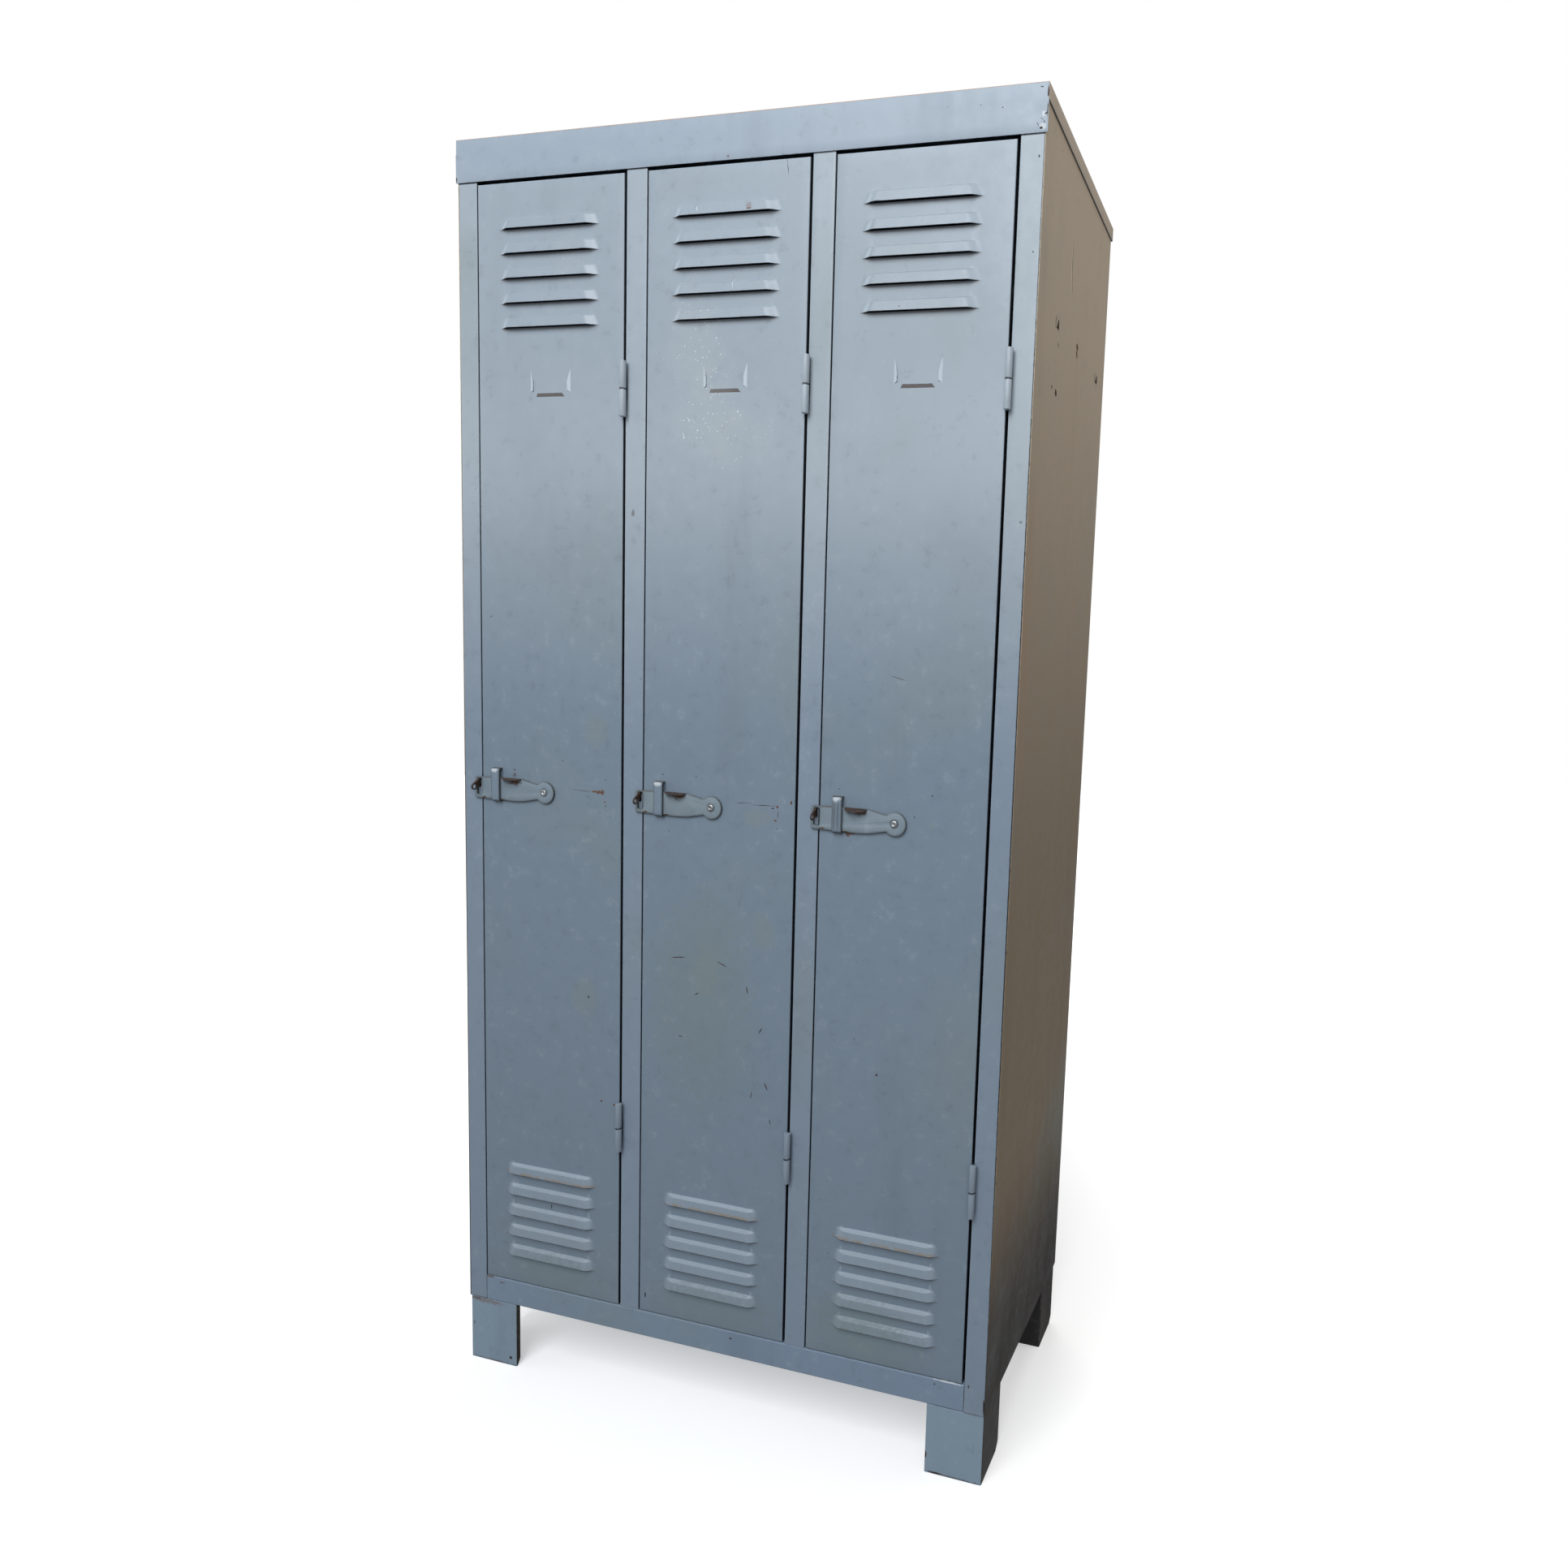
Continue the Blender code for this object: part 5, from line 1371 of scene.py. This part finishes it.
def build_body():
    """The cap, posts, mullions and side panels, and the marks on them."""
    cap = ["roof_cap", "roof_left_edge", "roof_right_edge", "roof_rear_edge"]
    # The cap's sideways flanges take the painted side shade
    cap_paint = paint("paint_cap", 11.0, CAP_MARKS, (0.314, 0.376, 0.446), shaded_sides=True)
    settle("roof_cap_sheet", cap_sheet(), "cabinet", cap_paint, cap,
           thickness=SHEET, fold=FOLD, rim=0.0002)

    frame_marks = list(FRAME_MARKS)
    for middle in (-0.4090, -0.1365, 0.1365, 0.4095):
        frame_marks.append(("seam", middle, FASCIA_LOW - 0.0004, 60, 1.7, 0, 0.2))
    # Painted shadow: a dark strip on the post beside each hinge, for the shade in the gap right of its
    # barrels
    for locker, low, _, high in hinge_heights():
        x = opening_right(locker) + 0.0010
        frame_marks.append(("seam", x, (low + high) / 2, 3.0, 550 * (high - low), 0, 0.15))
    frame_paint = paint("paint_frame", 5.0, frame_marks,
                        (0.348, 0.405, 0.455), (0.222, 0.280, 0.352), gap_shade=True)
    for node in ("left_post", "right_post", "mullion_1", "mullion_2"):
        slot = None if node == "right_post" else catch_slot(node)
        settle(f"{node}_sheet", channel(node, slot), "cabinet", frame_paint, [node], thickness=SHEET)

    side_marks = list(SIDE_MARKS)
    lance_middle = (LANCE_LOW + LANCE_HIGH) / 2
    for depth in LANCE_DEPTHS:
        for edge in (depth - LANCE_WIDTH / 2, depth + LANCE_WIDTH / 2):
            side_marks.append(("seam", edge, lance_middle - 0.001, 3.0, 9.0, 0, 0.3))
        side_marks.append(("seam", depth, LANCE_LOW, 10.0, 1.6, 0, 0.3))
    side_paint = paint("paint_side", 21.0, side_marks, worn=2.2, axis='X', gloss=0.12)
    for side, name in ((-1, "left_side_panel"), (1, "right_side_panel")):
        settle(f"{name}_sheet", side_sheet(side), "cabinet", side_paint, [name], thickness=SHEET)


def build_doors():
    """The doors with their latches and hinges; returns the bare steel's material."""
    arm_marks = []
    keeper_marks = []
    for locker in LOCKERS:
        arm_marks += from_pivot(locker, ARM_MARKS)
        keeper_marks += from_pivot(locker, KEEPER_MARKS)
    arm_paint = paint("paint_latch_arm", 41.0, arm_marks,
                      (0.225, 0.282, 0.330), (0.212, 0.268, 0.315), worn=2.0, rimmed=True)
    keeper_paint = paint("paint_keeper", 43.0, keeper_marks, worn=2.0, rimmed=True)
    joints = [("seam", opening_right(locker), joint, 12, 1.5, 0, 0.3)
              for locker, _, joint, _ in hinge_heights()]
    hinge_paint = paint("paint_hinge", 47.0, joints,
                        (0.350, 0.400, 0.450), (0.235, 0.285, 0.345), worn=1.8, sunk=True)
    rusty = rusty_steel("rusty_steel")
    bright = bright_steel("bright_steel")
    for locker in LOCKERS:
        door = f"door_{locker}"
        arm = f"latch_arm_{locker}"
        skin = paint(f"paint_{door}", locker * 3.0, DOOR_MARKS[locker], dusty=DOOR_DUST[locker],
                     gap_shade=True, louvred=hood_ends(locker))
        settle(f"{door}_sheet", door_sheet(locker), door, skin, [door], thickness=SHEET, crease=19)
        settle(f"{arm}_plate", arm_plate(locker), arm, arm_paint, [arm], rim=0.0005)
        settle(f"{arm}_thumb_tab", thumb_tab(locker), arm, rusty, [arm], rim=0.0005)
        settle(f"{door}_keeper", keeper_strap(locker), door, keeper_paint,
               [f"latch_keeper_{locker}"], thickness=0.002, rim=0.0004)
        settle(f"{door}_rivet", rivet(locker), door, bright, [f"latch_rivet_{locker}"])
        settle(f"catch_plate_{locker}_blank", catch_plate(locker), "cabinet", rusty,
               [f"catch_plate_{locker}"], rim=0.0003)
        for level in HINGE_LEVELS:
            for part, body in (("door_knuckle", door), ("frame_knuckle", "cabinet")):
                node = f"{level}_hinge_{locker}_{part}"
                settle(f"{node}_barrel", hinge_leaf(locker, level, part), body, hinge_paint, [node],
                       rim=0.0005)
    return bright


def finish_cad_nodes(bright):
    """Materials for the CAD nodes that stay in view."""
    inside = paint("paint_inside", 61.0, (), (0.24, 0.285, 0.325), (0.19, 0.235, 0.275), worn=0.6)
    rail_blue = (0.210, 0.280, 0.372)
    rail = paint("paint_rail", 67.0, RAIL_MARKS, rail_blue, rail_blue, worn=1.4)
    foot_blue = (0.255, 0.336, 0.414)
    # The feet's sideways wings take the painted side shade
    foot = paint("paint_foot", 71.0, FOOT_MARKS, foot_blue, foot_blue, worn=1.6, shaded_sides=True, gloss=0.25)
    # Painted shadow: the rear feet, standing in the shade under the cabinet, are coloured near black
    shaded = (0.040, 0.038, 0.036)
    rear = paint("rear_foot_painted_shadow", 73.0, (), shaded, shaded, worn=1.6, shaded_sides=True, gloss=0.1)
    for name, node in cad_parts.items():
        if node.hide_render:
            continue
        if name.startswith("coat_rail") or name.endswith("_pin"):
            coat = bright
        elif name.endswith("_foot"):
            coat = rear if "rear" in name else foot
        elif name == "floor_tray":
            coat = rail
        else:
            coat = inside
        node.data.materials.clear()
        node.data.materials.append(coat)


# ------------------------------------------------------------------- staging

def build_stage():
    """A plain pale floor, soft light from above the front and a dim warm light from the right."""
    bm = bmesh.new()
    bmesh.ops.create_circle(bm, cap_ends=True, radius=9.0, segments=96)
    floor = as_object("floor", bm)
    s = Surface("floor")
    s.colour = s.mix(s.cloud(3, 3), (0.80, 0.80, 0.80), (0.84, 0.84, 0.84))
    s.finish(0.9, s.cloud(60, 3), 0.0005)
    # Painted light: the floor glows, dim beside the cabinet and white further off, which pales its shadows
    # and blends it into the white backdrop
    away = s.ramp(s.vector('LENGTH', s.place), 0.4, 2.6)
    s.feed(s.shader.inputs["Emission Color"], s.mix(away, (0.42, 0.42, 0.42), (1.0, 1.0, 1.0)))
    s.feed(s.shader.inputs["Emission Strength"], 1.0)
    floor.data.materials.append(s.material)
    floor.visible_diffuse = False
    floor.visible_glossy = False

    add_light("key", (0.0, -2.7, 3.3), (0.0, -0.2, 1.15), 2.2, 96, (0.95, 0.98, 1.0))
    add_light("side", (2.7, 0.9, 2.7), (0.4, 0.0, 1.2), 1.6, 18, (1.0, 0.86, 0.72))
    add_light("left", (-3.2, -1.1, 2.2), (-0.1, -0.2, 1.2), 1.2, 12, (0.96, 0.98, 1.0))
    add_light("fill", (1.7, -3.0, 2.3), (0.0, -0.2, 1.2), 1.8, 14, (1.0, 0.99, 0.97))
    add_light("back", (-1.2, 3.0, 2.6), (0.0, 0.2, 1.0), 2.2, 45, (1.0, 0.98, 0.96))

    world = bpy.data.worlds.new("studio")
    world.use_nodes = True
    tree = world.node_tree
    background = tree.nodes["Background"]
    background.inputs["Color"].default_value = (0.80, 0.83, 0.88, 1.0)
    background.inputs["Strength"].default_value = 0.33
    seen = tree.nodes.new("ShaderNodeBackground")
    seen.inputs["Color"].default_value = (1.0, 1.0, 1.0, 1.0)
    rays = tree.nodes.new("ShaderNodeLightPath")
    choose = tree.nodes.new("ShaderNodeMixShader")
    tree.links.new(rays.outputs["Is Camera Ray"], choose.inputs[0])
    tree.links.new(background.outputs[0], choose.inputs[1])
    tree.links.new(seen.outputs[0], choose.inputs[2])
    tree.links.new(choose.outputs[0], tree.nodes["World Output"].inputs["Surface"])
    bpy.context.scene.world = world


def add_light(name, place, target, size, power, colour):
    lamp = bpy.data.lights.new(name, 'AREA')
    lamp.size = size
    lamp.energy = power
    lamp.color = colour
    item = bpy.data.objects.new(name, lamp)
    item.location = place
    item.rotation_euler = (Vector(target) - Vector(place)).to_track_quat('-Z', 'Y').to_euler()
    item.visible_camera = False
    bpy.context.scene.collection.objects.link(item)


def build_camera():
    data = bpy.data.cameras.new("camera")
    data.sensor_width = 36.0
    data.lens = 23.50
    data.shift_x = -0.1635
    data.shift_y = 0.0055
    camera = bpy.data.objects.new("camera", data)
    camera.location = (0.7820, -1.4392, 1.1064)
    camera.rotation_euler = Euler([math.radians(angle) for angle in (83.756, -2.875, 14.832)])
    bpy.context.scene.collection.objects.link(camera)
    bpy.context.scene.camera = camera


bright_metal = build_doors()
build_body()
finish_cad_nodes(bright_metal)
build_stage()
build_camera()
bpy.context.scene.view_settings.view_transform = 'Standard'
